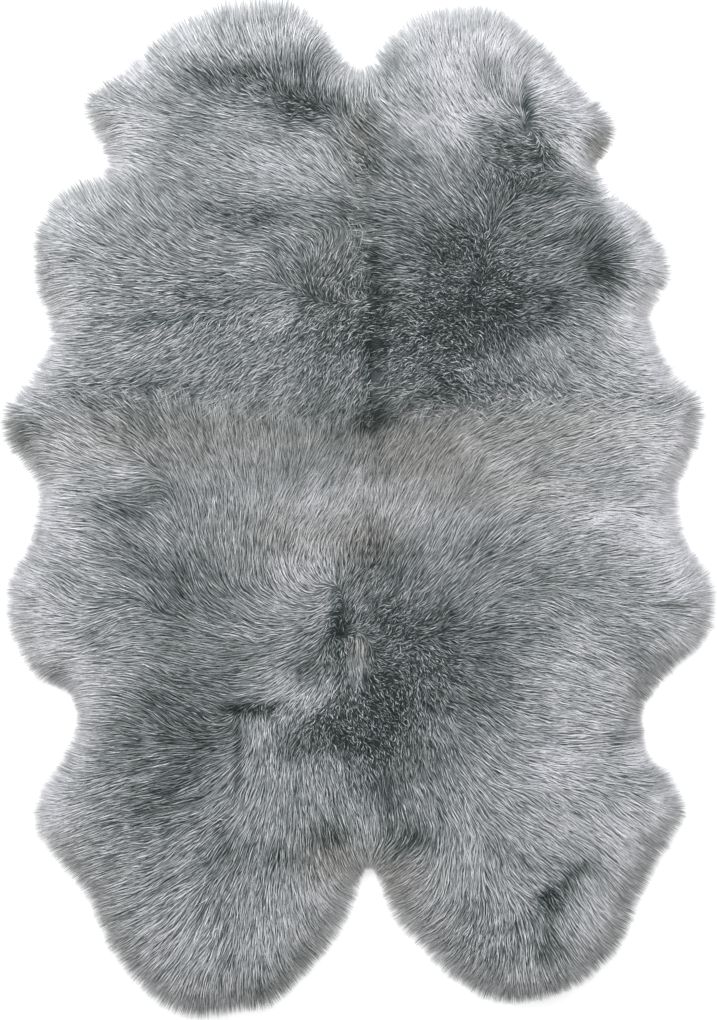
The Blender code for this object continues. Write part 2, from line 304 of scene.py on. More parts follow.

# ---- Charts drawn from the photograph

# Which way the wool lies: x, y and the heading from root to tip in degrees, where 0 is
# to the rug's right and 90 is up it
NAP = {
    "upper_left": (
        (-0.2, 0.88, 95), (-0.3, 0.86, 115), (-0.35, 0.83, 128), (-0.28, 0.82, 125),
        (-0.2, 0.84, 110), (-0.1, 0.86, 85), (-0.06, 0.83, 75), (-0.04, 0.8, 60),
        (0.0, 0.75, 90), (-0.1, 0.78, 90), (-0.25, 0.78, 135), (-0.3, 0.74, 150),
        (-0.38, 0.76, 140), (-0.43, 0.74, 155), (-0.45, 0.7, 178), (-0.42, 0.66, 180),
        (-0.44, 0.64, 150), (-0.3, 0.7, 178), (-0.2, 0.7, 175), (-0.1, 0.69, 180),
        (-0.3, 0.65, 160), (-0.2, 0.64, 152), (-0.1, 0.64, 145), (-0.05, 0.62, 130),
        (-0.35, 0.6, 155), (-0.2, 0.6, 160), (-0.1, 0.6, 150), (-0.48, 0.56, 125),
        (-0.4, 0.57, 128), (-0.35, 0.55, 130), (-0.5, 0.53, 140), (-0.55, 0.5, 158),
        (-0.45, 0.5, 142), (-0.4, 0.5, 140), (-0.3, 0.53, 145), (-0.2, 0.56, 175),
        (-0.1, 0.53, 168), (-0.55, 0.45, 178), (-0.45, 0.45, 162), (-0.35, 0.47, 148),
        (-0.25, 0.47, 160), (-0.2, 0.45, 178), (-0.12, 0.43, 125), (-0.05, 0.43, 60),
        (-0.5, 0.4, 180), (-0.4, 0.4, 180), (-0.3, 0.4, 182), (-0.15, 0.36, 207),
        (-0.55, 0.37, 180), (-0.5, 0.33, 182), (-0.4, 0.33, 195), (-0.3, 0.33, 210),
        (-0.2, 0.33, 220), (-0.1, 0.3, 225), (-0.05, 0.3, 230), (-0.03, 0.25, 240),
        (-0.25, 0.28, 218), (-0.35, 0.28, 208), (-0.45, 0.27, 195), (-0.5, 0.25, 180),
        (-0.2, 0.22, 220), (-0.55, 0.24, 192), (-0.6, 0.2, 200),
    ),
    "upper_right": (
        (0.02, 0.75, 85), (0.05, 0.77, 118), (0.07, 0.8, 115), (0.1, 0.85, 107),
        (0.15, 0.86, 92), (0.2, 0.86, 89), (0.25, 0.86, 72), (0.28, 0.84, 62), (0.3, 0.82, 50),
        (0.33, 0.81, 40), (0.35, 0.78, 27), (0.38, 0.76, 20), (0.1, 0.77, 122),
        (0.15, 0.78, 110), (0.2, 0.78, 110), (0.25, 0.79, 75), (0.27, 0.76, 95),
        (0.15, 0.72, 122), (0.2, 0.72, 128), (0.25, 0.72, 115), (0.32, 0.75, 18),
        (0.35, 0.73, 8), (0.4, 0.72, 355), (0.4, 0.7, 350), (0.35, 0.68, 338),
        (0.4, 0.67, 328), (0.43, 0.68, 320), (0.35, 0.65, 320), (0.38, 0.63, 318),
        (0.4, 0.62, 310), (0.05, 0.72, 130), (0.05, 0.7, 140), (0.1, 0.7, 138),
        (0.05, 0.67, 145), (0.1, 0.65, 140), (0.15, 0.65, 122), (0.2, 0.62, 120),
        (0.22, 0.68, 178), (0.25, 0.7, 165), (0.3, 0.63, 182), (0.25, 0.62, 170),
        (0.05, 0.62, 145), (0.1, 0.6, 145), (0.15, 0.6, 118), (0.2, 0.57, 130),
        (0.25, 0.58, 88), (0.35, 0.57, 22), (0.4, 0.6, 320), (0.42, 0.57, 318),
        (0.46, 0.54, 340), (0.05, 0.55, 165), (0.1, 0.55, 150), (0.15, 0.53, 135),
        (0.3, 0.53, 12), (0.35, 0.52, 25), (0.4, 0.5, 55), (0.45, 0.5, 40), (0.48, 0.48, 25),
        (0.5, 0.45, 3), (0.5, 0.42, 347), (0.48, 0.38, 322), (0.0, 0.5, 175), (0.05, 0.5, 170),
        (0.1, 0.48, 155), (0.15, 0.47, 145), (0.3, 0.46, 20), (0.35, 0.45, 15),
        (0.35, 0.4, 20), (0.3, 0.38, 10), (0.15, 0.42, 175), (0.1, 0.42, 180),
        (0.05, 0.42, 180), (0.05, 0.35, 5), (0.1, 0.35, 355), (0.1, 0.27, 30),
        (0.35, 0.37, 350), (0.4, 0.37, 350), (0.45, 0.37, 325), (0.5, 0.37, 330),
        (0.4, 0.32, 332), (0.35, 0.3, 310), (0.3, 0.28, 305), (0.25, 0.28, 290),
        (0.45, 0.3, 325), (0.5, 0.31, 345), (0.35, 0.25, 308), (0.3, 0.24, 310),
        (0.4, 0.25, 325), (0.45, 0.25, 335), (0.5, 0.24, 345), (0.55, 0.23, 350),
        (0.25, 0.21, 315), (0.4, 0.21, 340), (0.5, 0.21, 350),
    ),
    "lower_left": (
        (-0.6, 0.15, 190), (-0.55, 0.15, 155), (-0.5, 0.15, 148), (-0.45, 0.17, 150),
        (-0.4, 0.18, 135), (-0.33, 0.2, 115), (-0.25, 0.19, 90), (-0.2, 0.13, 100),
        (-0.5, 0.1, 150), (-0.45, 0.08, 162), (-0.41, 0.06, 180), (-0.35, 0.1, 125),
        (-0.3, 0.1, 115), (-0.3, 0.05, 115), (-0.38, 0.03, 195), (-0.55, 0.03, 180),
        (-0.5, 0.04, 175), (-0.5, -0.02, 180), (-0.45, -0.01, 155), (-0.4, -0.02, 145),
        (-0.35, -0.03, 135), (-0.3, 0.0, 100), (-0.25, -0.02, 90), (-0.2, -0.03, 88),
        (-0.15, 0.1, 90), (-0.05, 0.06, 60), (-0.1, 0.02, 60), (-0.15, -0.03, 75),
        (-0.1, -0.03, 60), (-0.05, -0.03, 58), (-0.1, -0.08, 70), (-0.2, -0.1, 90),
        (-0.4, -0.1, 150), (-0.35, -0.1, 132), (-0.3, -0.1, 112), (-0.45, -0.1, 165),
        (-0.5, -0.08, 160), (-0.55, -0.1, 165), (-0.6, -0.12, 176), (-0.6, -0.18, 180),
        (-0.52, -0.13, 147), (-0.43, -0.2, 200), (-0.45, -0.22, 205), (-0.4, -0.2, 190),
        (-0.35, -0.22, 175), (-0.35, -0.15, 128), (-0.57, -0.25, 185), (-0.5, -0.3, 177),
        (-0.45, -0.28, 180), (-0.35, -0.3, 158), (-0.14, -0.12, 105), (-0.1, -0.13, 140),
        (-0.06, -0.11, 98), (-0.08, -0.12, 122), (-0.085, -0.14, 148), (-0.075, -0.155, 198),
        (-0.05, -0.15, 220), (-0.064, -0.143, 208), (-0.02, -0.1, 80), (-0.022, -0.125, 58),
        (-0.012, -0.15, 52), (-0.012, -0.18, 56), (-0.012, -0.207, 60), (-0.08, -0.27, 210),
        (-0.045, -0.265, 300), (-0.06, -0.31, 240), (-0.03, -0.38, 300), (-0.045, -0.115, 95),
        (-0.052, -0.162, 222), (-0.068, -0.175, 212), (-0.096, -0.184, 183),
        (-0.092, -0.162, 168), (-0.107, -0.132, 115), (-0.128, -0.154, 135),
        (-0.139, -0.179, 155), (-0.008, -0.245, 265), (-0.004, -0.29, 272), (-0.1, -0.17, 168),
        (-0.15, -0.17, 152), (-0.2, -0.18, 145), (-0.1, -0.195, 200), (-0.15, -0.2, 180),
        (-0.2, -0.22, 165), (-0.06, -0.18, 200), (-0.07, -0.2, 220), (-0.1, -0.23, 215),
        (-0.15, -0.25, 203), (-0.2, -0.28, 188), (-0.15, -0.3, 207), (-0.1, -0.3, 215),
        (-0.05, -0.3, 235), (-0.18, -0.32, 190), (-0.08, -0.36, 235), (-0.45, -0.35, 180),
        (-0.4, -0.34, 160), (-0.35, -0.36, 145), (-0.3, -0.37, 150), (-0.25, -0.33, 165),
        (-0.18, -0.38, 270), (-0.15, -0.4, 270), (-0.1, -0.4, 250), (-0.25, -0.42, 190),
        (-0.35, -0.43, 185), (-0.45, -0.42, 185), (-0.5, -0.45, 195), (-0.55, -0.5, 200),
        (-0.45, -0.5, 200), (-0.35, -0.52, 192), (-0.3, -0.52, 203), (-0.25, -0.52, 218),
        (-0.2, -0.5, 245), (-0.15, -0.48, 267), (-0.1, -0.5, 270), (-0.05, -0.48, 285),
        (0.0, -0.5, 285), (-0.5, -0.56, 203), (-0.4, -0.57, 190), (-0.3, -0.56, 205),
        (-0.25, -0.57, 220), (-0.2, -0.57, 240), (-0.15, -0.57, 265), (-0.05, -0.57, 285),
        (-0.45, -0.62, 193), (-0.4, -0.65, 198), (-0.3, -0.64, 210), (-0.25, -0.62, 230),
        (-0.2, -0.62, 255), (-0.1, -0.62, 270), (-0.05, -0.63, 288), (-0.02, -0.66, 300),
        (-0.45, -0.68, 200), (-0.4, -0.7, 205), (-0.35, -0.68, 215), (-0.3, -0.72, 230),
        (-0.25, -0.7, 250), (-0.2, -0.72, 262), (-0.15, -0.72, 272), (-0.1, -0.72, 285),
        (-0.05, -0.72, 300), (-0.4, -0.77, 218), (-0.35, -0.78, 225), (-0.3, -0.78, 235),
        (-0.25, -0.8, 248), (-0.2, -0.8, 262), (-0.15, -0.8, 278), (-0.1, -0.8, 298),
        (-0.35, -0.84, 235), (-0.3, -0.86, 250), (-0.25, -0.86, 262), (-0.2, -0.86, 270),
        (-0.15, -0.86, 285),
    ),
    "lower_right": (
        (0.006, -0.245, 270), (0.008, -0.29, 280), (0.02, -0.15, 58), (0.03, -0.2, 48),
        (0.04, -0.225, 38), (0.07, -0.24, 38), (0.09, -0.33, 278), (0.05, -0.37, 305),
        (0.02, 0.05, 85), (0.05, 0.1, 60), (0.1, 0.08, 62), (0.15, 0.12, 55), (0.12, 0.04, 70),
        (0.2, 0.12, 38), (0.25, 0.12, 20), (0.4, 0.17, 22), (0.35, 0.15, 27), (0.3, 0.12, 25),
        (0.45, 0.15, 15), (0.5, 0.15, 5), (0.55, 0.18, 17), (0.6, 0.17, 355), (0.2, 0.08, 60),
        (0.16, 0.04, 68), (0.25, 0.08, 30), (0.3, 0.08, 35), (0.4, 0.1, 20), (0.45, 0.08, 17),
        (0.5, 0.08, 5), (0.56, 0.08, 347), (0.25, 0.03, 25), (0.2, 0.02, 45), (0.3, 0.03, 18),
        (0.35, 0.03, 350), (0.4, 0.03, 3), (0.5, 0.03, 0), (0.55, 0.02, 345),
        (0.02, -0.05, 80), (0.1, -0.05, 65), (0.15, -0.05, 60), (0.2, -0.03, 55),
        (0.25, -0.05, 40), (0.3, -0.03, 30), (0.35, -0.03, 22), (0.4, -0.03, 15),
        (0.45, -0.03, 5), (0.5, -0.02, 345), (0.55, -0.03, 340), (0.05, -0.1, 65),
        (0.1, -0.12, 55), (0.15, -0.15, 45), (0.2, -0.1, 50), (0.25, -0.1, 25),
        (0.3, -0.1, 25), (0.35, -0.1, 10), (0.4, -0.1, 5), (0.5, -0.1, 8), (0.6, -0.11, 27),
        (0.2, -0.17, 42), (0.3, -0.17, 0), (0.35, -0.17, 335), (0.4, -0.19, 330),
        (0.45, -0.17, 350), (0.2, -0.22, 12), (0.25, -0.2, 10), (0.15, -0.2, 38),
        (0.58, -0.14, 20), (0.6, -0.17, 5), (0.6, -0.2, 340), (0.45, -0.22, 350),
        (0.5, -0.22, 347), (0.55, -0.23, 327), (0.2, -0.27, 347), (0.25, -0.27, 350),
        (0.15, -0.25, 330), (0.12, -0.28, 300), (0.11, -0.3, 280), (0.1, -0.33, 267),
        (0.15, -0.31, 318), (0.2, -0.33, 328), (0.06, -0.29, 8), (0.25, -0.32, 340),
        (0.35, -0.27, 350), (0.4, -0.27, 335), (0.45, -0.28, 335), (0.53, -0.27, 320),
        (0.3, -0.33, 348), (0.35, -0.33, 350), (0.45, -0.33, 345), (0.5, -0.34, 310),
        (0.1, -0.4, 270), (0.15, -0.4, 290), (0.2, -0.38, 325), (0.25, -0.4, 320),
        (0.3, -0.4, 350), (0.35, -0.42, 352), (0.4, -0.42, 3), (0.45, -0.42, 0),
        (0.1, -0.47, 282), (0.15, -0.47, 295), (0.2, -0.47, 308), (0.25, -0.47, 325),
        (0.3, -0.48, 350), (0.45, -0.47, 345), (0.5, -0.48, 338), (0.55, -0.5, 332),
        (0.02, -0.55, 275), (0.1, -0.53, 288), (0.2, -0.53, 300), (0.25, -0.53, 320),
        (0.3, -0.54, 328), (0.35, -0.53, 330), (0.4, -0.55, 325), (0.45, -0.55, 320),
        (0.52, -0.58, 318), (0.08, -0.62, 220), (0.1, -0.65, 222), (0.15, -0.62, 258),
        (0.2, -0.62, 270), (0.25, -0.62, 288), (0.3, -0.62, 315), (0.35, -0.62, 325),
        (0.45, -0.62, 315), (0.07, -0.7, 215), (0.1, -0.7, 220), (0.15, -0.7, 240),
        (0.2, -0.68, 265), (0.25, -0.68, 290), (0.3, -0.67, 320), (0.4, -0.68, 300),
        (0.45, -0.7, 305), (0.12, -0.76, 218), (0.17, -0.76, 235), (0.2, -0.75, 255),
        (0.25, -0.77, 268), (0.3, -0.77, 275), (0.35, -0.77, 300), (0.4, -0.77, 305),
        (0.45, -0.76, 312), (0.2, -0.82, 245), (0.25, -0.82, 255), (0.3, -0.83, 285),
        (0.35, -0.83, 295), (0.4, -0.82, 310),
    ),
}
NAP_BLEND = 0.014

# How unevenly one pelt's wool gives way to the next's along a seam
SEAM_RAGGED = 0.030
SEAM_RAGGED_SIZE = 0.020
SEAM_FUZZ = 0.015
SEAM_REACH = 0.045

# Where short wool curls every way instead: x, y, half width, half height and how much
CURLS = (
    (0.21, 0.4, 0.085, 0.075, 1.0), (0.2, 0.47, 0.06, 0.04, 0.6),
    (0.28, 0.58, 0.06, 0.03, 0.7), (0.29, 0.64, 0.07, 0.045, 0.6),
    (-0.1, 0.715, 0.055, 0.03, 0.8), (-0.19, 0.76, 0.045, 0.03, 0.6),
    (-0.19, 0.52, 0.055, 0.025, 0.5), (0.02, 0.61, 0.025, 0.025, 0.7),
    (0.05, -0.33, 0.085, 0.075, 0.8), (-0.04, -0.38, 0.065, 0.04, 1.0),
    (-0.035, -0.21, 0.022, 0.06, 1.0), (0.07, -0.2, 0.055, 0.045, 0.8),
    (0.03, -0.42, 0.045, 0.04, 0.8), (-0.18, -0.355, 0.055, 0.014, 0.8),
    (0.14, -0.27, 0.05, 0.04, 0.5), (0.34, -0.69, 0.025, 0.018, 0.6),
    (-0.04, 0.37, 0.08, 0.09, 0.55), (-0.25, 0.35, 0.15, 0.06, 0.3),
    (0.13, 0.3, 0.09, 0.07, 0.65), (0.02, -0.1, 0.02, 0.06, 0.5),
    (-0.1, 0.26, 0.2, 0.09, 0.35), (0.2, 0.31, 0.2, 0.12, 0.4), (0.08, -0.28, 0.13, 0.13, 0.3),
    (-0.05, -0.42, 0.12, 0.05, 0.3), (0.2, 0.21, 0.16, 0.04, 0.5),
    (-0.3, 0.22, 0.2, 0.03, 0.3), (0.0, -0.27, 0.016, 0.034, -1.2),
    (0.22, -0.76, 0.06, 0.035, 0.4),
)

# Where the wool lies sleek and even, and below 0 where it is rough and parted: x, y,
# half width, half height and how much
SLEEK = (
    (-0.2, 0.1, 0.2, 0.1, 1.0), (0.14, 0.07, 0.15, 0.11, 0.8), (0.18, 0.8, 0.13, 0.08, 1.0),
    (-0.06, 0.02, 0.08, 0.07, 0.7), (0.33, 0.28, 0.1, 0.04, 0.5),
    (0.42, 0.02, 0.16, 0.16, 0.35), (-0.35, 0.6, 0.15, 0.1, 0.25),
    (0.15, 0.65, 0.1, 0.06, 0.4), (-0.3, -0.76, 0.2, 0.14, -0.6),
    (0.28, -0.74, 0.18, 0.12, -0.6), (-0.3, 0.36, 0.22, 0.08, -0.35),
    (0.0, -0.47, 0.1, 0.12, -0.4), (-0.48, -0.05, 0.1, 0.25, -0.2),
    (0.02, 0.45, 0.06, 0.2, -0.2), (0.22, 0.42, 0.12, 0.12, -0.3),
    (0.32, -0.5, 0.2, 0.1, -0.35), (-0.35, -0.5, 0.15, 0.1, -0.3),
    (-0.12, 0.62, 0.15, 0.06, -0.2),
)

# Where the rim's wool reaches further out, or below 0 less far: x, y, half width,
# half height and how far
RIM_FULLER = (
    (-0.2, 0.9, 0.2, 0.07, 0.017), (-0.48, 0.77, 0.05, 0.06, 0.014),
    (-0.38, 0.84, 0.07, 0.04, 0.01), (-0.53, 0.6, 0.06, 0.06, 0.033),
    (0.15, 0.9, 0.13, 0.06, 0.011), (0.33, 0.83, 0.06, 0.04, 0.009),
    (-0.3, -0.9, 0.25, 0.08, 0.003), (0.1, -0.72, 0.05, 0.06, 0.005),
    (-0.62, 0.15, 0.04, 0.05, 0.005), (0.02, -0.62, 0.04, 0.04, -0.019),
    (-0.52, -0.35, 0.04, 0.06, -0.016), (0.5, -0.36, 0.04, 0.06, -0.006),
    (0.52, -0.44, 0.03, 0.025, -0.017), (0.44, 0.69, 0.04, 0.04, 0.009),
    (0.46, 0.59, 0.045, 0.035, 0.016), (0.55, 0.45, 0.03, 0.04, 0.003),
    (0.56, 0.22, 0.04, 0.035, 0.007), (-0.44, 0.62, 0.025, 0.04, -0.005),
    (0.415, 0.63, 0.02, 0.025, -0.009), (0.5, 0.36, 0.03, 0.04, -0.004),
    (-0.57, -0.19, 0.03, 0.03, -0.003), (0.57, -0.25, 0.04, 0.025, -0.005),
    (-0.49, 0.7, 0.02, 0.03, -0.006), (-0.57, 0.0, 0.02, 0.06, -0.003),
    (0.25, -0.86, 0.1, 0.04, -0.003), (-0.1, -0.8, 0.04, 0.04, -0.003),
    (-0.56, -0.53, 0.03, 0.04, -0.003), (0.57, -0.55, 0.03, 0.05, -0.003),
    (0.57, -0.05, 0.03, 0.05, -0.002), (0.43, 0.75, 0.04, 0.03, 0.006),
    (-0.6, 0.24, 0.04, 0.03, 0.005), (-0.56, -0.31, 0.03, 0.02, 0.005),
    (0.06, 0.82, 0.03, 0.04, 0.003),
)

# Darker and paler wool, partly the wool's own tone and partly painted light: painted shade in
# creases, partings and hollows, and painted sheen where the wool lies flat. Each row: x, y,
# half width, half height and the change of shade
TONE_AND_PAINTED_LIGHT = (
    # The upper left pelt
    (-0.3, 0.86, 0.045, 0.025, 0.18), (-0.28, 0.86, 0.1, 0.025, -0.05),
    (-0.26, 0.87, 0.03, 0.025, -0.08), (-0.25, 0.84, 0.03, 0.02, -0.06),
    (-0.18, 0.865, 0.02, 0.02, -0.09), (-0.13, 0.83, 0.09, 0.03, 0.18),
    (-0.12, 0.84, 0.06, 0.03, 0.06), (-0.08, 0.86, 0.045, 0.02, 0.16),
    (-0.39, 0.78, 0.04, 0.035, 0.2), (-0.33, 0.82, 0.05, 0.02, 0.06),
    (-0.31, 0.81, 0.03, 0.02, 0.1), (-0.29, 0.825, 0.03, 0.012, 0.08),
    (-0.2, 0.81, 0.11, 0.02, 0.06), (-0.1, 0.81, 0.05, 0.045, -0.14),
    (-0.1, 0.8, 0.025, 0.025, -0.08), (-0.09, 0.78, 0.02, 0.02, -0.07),
    (-0.04, 0.79, 0.02, 0.03, 0.06), (-0.45, 0.76, 0.03, 0.03, -0.07),
    (-0.43, 0.73, 0.04, 0.04, -0.06), (-0.32, 0.73, 0.02, 0.03, -0.05),
    (-0.3, 0.755, 0.03, 0.02, -0.07), (-0.27, 0.77, 0.04, 0.03, -0.14),
    (-0.26, 0.77, 0.02, 0.02, -0.06), (-0.24, 0.76, 0.03, 0.02, -0.05),
    (-0.22, 0.76, 0.03, 0.015, -0.06), (-0.19, 0.77, 0.05, 0.035, -0.14),
    (-0.15, 0.755, 0.03, 0.02, -0.07), (-0.14, 0.77, 0.02, 0.02, -0.08),
    (-0.01, 0.765, 0.04, 0.02, 0.07), (-0.47, 0.7, 0.015, 0.02, 0.08),
    (-0.45, 0.7, 0.015, 0.015, 0.08), (-0.44, 0.72, 0.02, 0.015, 0.1),
    (-0.42, 0.69, 0.035, 0.03, 0.18), (-0.42, 0.68, 0.03, 0.03, 0.06),
    (-0.37, 0.69, 0.05, 0.05, 0.12), (-0.3, 0.68, 0.04, 0.02, -0.12),
    (-0.23, 0.72, 0.02, 0.015, -0.05), (-0.1, 0.715, 0.06, 0.03, -0.3),
    (-0.1, 0.69, 0.04, 0.02, -0.05), (-0.07, 0.68, 0.03, 0.015, -0.12),
    (-0.04, 0.715, 0.04, 0.018, -0.18), (-0.45, 0.65, 0.03, 0.02, 0.1),
    (-0.4, 0.665, 0.03, 0.02, 0.16), (-0.33, 0.64, 0.02, 0.02, -0.07),
    (-0.28, 0.67, 0.03, 0.03, -0.08), (-0.18, 0.63, 0.05, 0.02, 0.07),
    (-0.15, 0.63, 0.05, 0.015, 0.05), (-0.13, 0.655, 0.03, 0.015, -0.06),
    (-0.42, 0.62, 0.035, 0.025, 0.18), (-0.42, 0.6, 0.03, 0.015, 0.07),
    (-0.13, 0.6, 0.08, 0.03, 0.03), (-0.1, 0.6, 0.14, 0.05, 0.12),
    (-0.52, 0.56, 0.05, 0.03, -0.07), (-0.5, 0.57, 0.03, 0.015, -0.07),
    (-0.47, 0.54, 0.03, 0.03, 0.05), (-0.38, 0.56, 0.03, 0.015, -0.07),
    (-0.24, 0.55, 0.03, 0.015, 0.08), (-0.24, 0.56, 0.05, 0.02, 0.05),
    (-0.15, 0.53, 0.05, 0.025, -0.13), (-0.03, 0.57, 0.02, 0.02, -0.12),
    (-0.02, 0.53, 0.015, 0.04, -0.07), (-0.52, 0.5, 0.03, 0.04, 0.18),
    (-0.5, 0.52, 0.06, 0.05, 0.07), (-0.19, 0.52, 0.06, 0.028, -0.18),
    (-0.08, 0.5, 0.08, 0.04, 0.02), (-0.04, 0.52, 0.05, 0.025, -0.11),
    (-0.44, 0.44, 0.08, 0.015, 0.05), (-0.14, 0.46, 0.02, 0.03, -0.1),
    (-0.52, 0.38, 0.04, 0.06, 0.14), (-0.46, 0.42, 0.06, 0.03, 0.05),
    (-0.26, 0.38, 0.045, 0.025, -0.1), (-0.25, 0.4, 0.02, 0.02, 0.05),
    (-0.16, 0.42, 0.02, 0.02, 0.06), (-0.16, 0.42, 0.015, 0.03, 0.06),
    (-0.12, 0.42, 0.012, 0.05, -0.05), (-0.04, 0.38, 0.02, 0.04, -0.06),
    (-0.04, 0.4, 0.025, 0.02, -0.04), (-0.53, 0.34, 0.02, 0.03, 0.08),
    (-0.53, 0.35, 0.05, 0.08, 0.03), (-0.51, 0.37, 0.03, 0.03, 0.12),
    (-0.46, 0.36, 0.025, 0.015, 0.08), (-0.43, 0.35, 0.03, 0.015, 0.07),
    (-0.4, 0.335, 0.04, 0.015, -0.09), (-0.38, 0.335, 0.04, 0.015, -0.07),
    (-0.34, 0.34, 0.06, 0.015, -0.08), (-0.32, 0.335, 0.06, 0.015, -0.08),
    (-0.16, 0.335, 0.04, 0.02, 0.06), (-0.15, 0.33, 0.08, 0.05, 0.04),
    (-0.14, 0.36, 0.03, 0.025, 0.07), (-0.13, 0.335, 0.04, 0.02, 0.12),
    (-0.1, 0.34, 0.015, 0.06, -0.05), (-0.1, 0.35, 0.012, 0.04, -0.06),
    (-0.55, 0.3, 0.03, 0.045, 0.16), (-0.36, 0.29, 0.06, 0.02, 0.07),
    (-0.22, 0.31, 0.02, 0.03, 0.06), (-0.05, 0.32, 0.07, 0.09, -0.16),
    (-0.05, 0.3, 0.03, 0.05, -0.05), (-0.53, 0.27, 0.03, 0.015, 0.08),
    (-0.5, 0.24, 0.04, 0.02, 0.08), (-0.48, 0.23, 0.022, 0.022, -0.1),
    (-0.43, 0.235, 0.03, 0.015, 0.14), (-0.38, 0.23, 0.022, 0.022, -0.1),
    (-0.27, 0.235, 0.04, 0.03, -0.06), (-0.01, 0.26, 0.02, 0.012, 0.08),
    (-0.57, 0.22, 0.03, 0.02, 0.16), (-0.27, 0.22, 0.08, 0.04, 0.06),
    (-0.05, 0.21, 0.04, 0.02, -0.08), (-0.04, 0.21, 0.03, 0.02, -0.07),
    # The upper right pelt
    (0.05, 0.86, 0.03, 0.03, -0.05), (0.12, 0.865, 0.05, 0.015, 0.07),
    (0.17, 0.83, 0.07, 0.05, 0.12), (0.24, 0.84, 0.03, 0.025, 0.08),
    (0.25, 0.83, 0.05, 0.04, 0.15), (0.26, 0.85, 0.03, 0.02, 0.06),
    (0.04, 0.78, 0.03, 0.04, -0.07), (0.06, 0.79, 0.02, 0.03, -0.16),
    (0.07, 0.78, 0.03, 0.04, -0.06), (0.115, 0.797, 0.01, 0.008, -0.16),
    (0.15, 0.81, 0.11, 0.06, 0.12), (0.24, 0.78, 0.03, 0.02, -0.14),
    (0.26, 0.82, 0.035, 0.03, 0.14), (0.28, 0.775, 0.03, 0.02, 0.12),
    (0.28, 0.78, 0.04, 0.02, 0.05), (0.29, 0.79, 0.03, 0.015, -0.07),
    (0.34, 0.79, 0.02, 0.015, 0.08), (0.09, 0.73, 0.03, 0.03, -0.04),
    (0.096, 0.74, 0.01, 0.008, -0.14), (0.12, 0.73, 0.02, 0.02, -0.1),
    (0.128, 0.772, 0.008, 0.008, -0.12), (0.15, 0.76, 0.07, 0.045, 0.13),
    (0.153, 0.74, 0.012, 0.008, -0.14), (0.22, 0.76, 0.02, 0.015, -0.14),
    (0.28, 0.77, 0.03, 0.03, 0.05), (0.29, 0.76, 0.03, 0.03, 0.1),
    (0.31, 0.75, 0.02, 0.03, 0.06), (0.32, 0.77, 0.035, 0.04, 0.14),
    (0.35, 0.74, 0.03, 0.03, 0.24), (0.37, 0.75, 0.02, 0.02, 0.05),
    (0.02, 0.69, 0.02, 0.04, -0.3), (0.09, 0.69, 0.06, 0.015, 0.1),
    (0.12, 0.7, 0.08, 0.06, 0.03), (0.13, 0.685, 0.02, 0.015, -0.1),
    (0.15, 0.72, 0.12, 0.08, 0.2), (0.2, 0.69, 0.05, 0.035, 0.12),
    (0.2, 0.69, 0.03, 0.012, 0.06), (0.23, 0.68, 0.04, 0.025, -0.14),
    (0.23, 0.71, 0.03, 0.015, 0.1), (0.26, 0.69, 0.04, 0.02, 0.05),
    (0.3, 0.72, 0.012, 0.05, -0.24), (0.32, 0.68, 0.04, 0.015, 0.06),
    (0.33, 0.7, 0.02, 0.06, 0.08), (0.38, 0.68, 0.035, 0.07, 0.12),
    (0.38, 0.68, 0.02, 0.015, -0.06), (0.39, 0.68, 0.015, 0.03, -0.06),
    (0.4, 0.7, 0.025, 0.03, 0.16), (0.44, 0.69, 0.012, 0.03, -0.07),
    (0.0, 0.67, 0.015, 0.03, -0.06), (0.0, 0.67, 0.012, 0.03, -0.07),
    (0.02, 0.63, 0.02, 0.015, 0.06), (0.04, 0.64, 0.05, 0.03, -0.12),
    (0.14, 0.67, 0.08, 0.025, 0.05), (0.17, 0.64, 0.03, 0.02, -0.12),
    (0.17, 0.65, 0.03, 0.015, 0.05), (0.18, 0.66, 0.05, 0.02, 0.1),
    (0.2, 0.63, 0.02, 0.03, 0.08), (0.29, 0.64, 0.075, 0.05, -0.2),
    (0.29, 0.66, 0.03, 0.015, 0.07), (0.3, 0.665, 0.03, 0.02, 0.12),
    (0.33, 0.635, 0.025, 0.025, -0.1), (0.37, 0.64, 0.025, 0.02, 0.14),
    (0.442, 0.665, 0.01, 0.035, -0.18), (0.02, 0.61, 0.028, 0.028, -0.2),
    (0.07, 0.6, 0.04, 0.02, -0.05), (0.1, 0.62, 0.04, 0.012, -0.12),
    (0.2, 0.6, 0.04, 0.06, 0.05), (0.21, 0.6, 0.015, 0.02, 0.07),
    (0.28, 0.58, 0.06, 0.03, -0.16), (0.35, 0.62, 0.02, 0.02, -0.1),
    (0.37, 0.6, 0.02, 0.03, -0.06), (0.38, 0.61, 0.03, 0.015, 0.1),
    (0.39, 0.62, 0.025, 0.03, 0.16), (0.4, 0.62, 0.012, 0.018, 0.08),
    (0.41, 0.61, 0.02, 0.02, 0.08), (0.427, 0.62, 0.01, 0.02, -0.16),
    (0.02, 0.53, 0.02, 0.08, -0.08), (0.15, 0.53, 0.09, 0.02, 0.04),
    (0.33, 0.55, 0.04, 0.03, -0.08), (0.35, 0.57, 0.05, 0.03, -0.07),
    (0.41, 0.57, 0.05, 0.025, -0.06), (0.45, 0.53, 0.06, 0.05, -0.04),
    (0.0, 0.52, 0.1, 0.05, -0.1), (0.12, 0.49, 0.05, 0.015, -0.06),
    (0.12, 0.5, 0.12, 0.015, -0.04), (0.25, 0.5, 0.12, 0.06, -0.12),
    (0.38, 0.48, 0.04, 0.035, -0.1), (0.42, 0.52, 0.03, 0.02, -0.12),
    (0.47, 0.52, 0.03, 0.025, 0.24), (0.49, 0.48, 0.02, 0.03, 0.12),
    (0.0, 0.44, 0.03, 0.03, -0.09), (0.027, 0.454, 0.012, 0.022, -0.22),
    (0.05, 0.43, 0.07, 0.02, -0.04), (0.12, 0.46, 0.08, 0.03, -0.08),
    (0.26, 0.46, 0.04, 0.03, 0.12), (0.27, 0.47, 0.02, 0.015, 0.06),
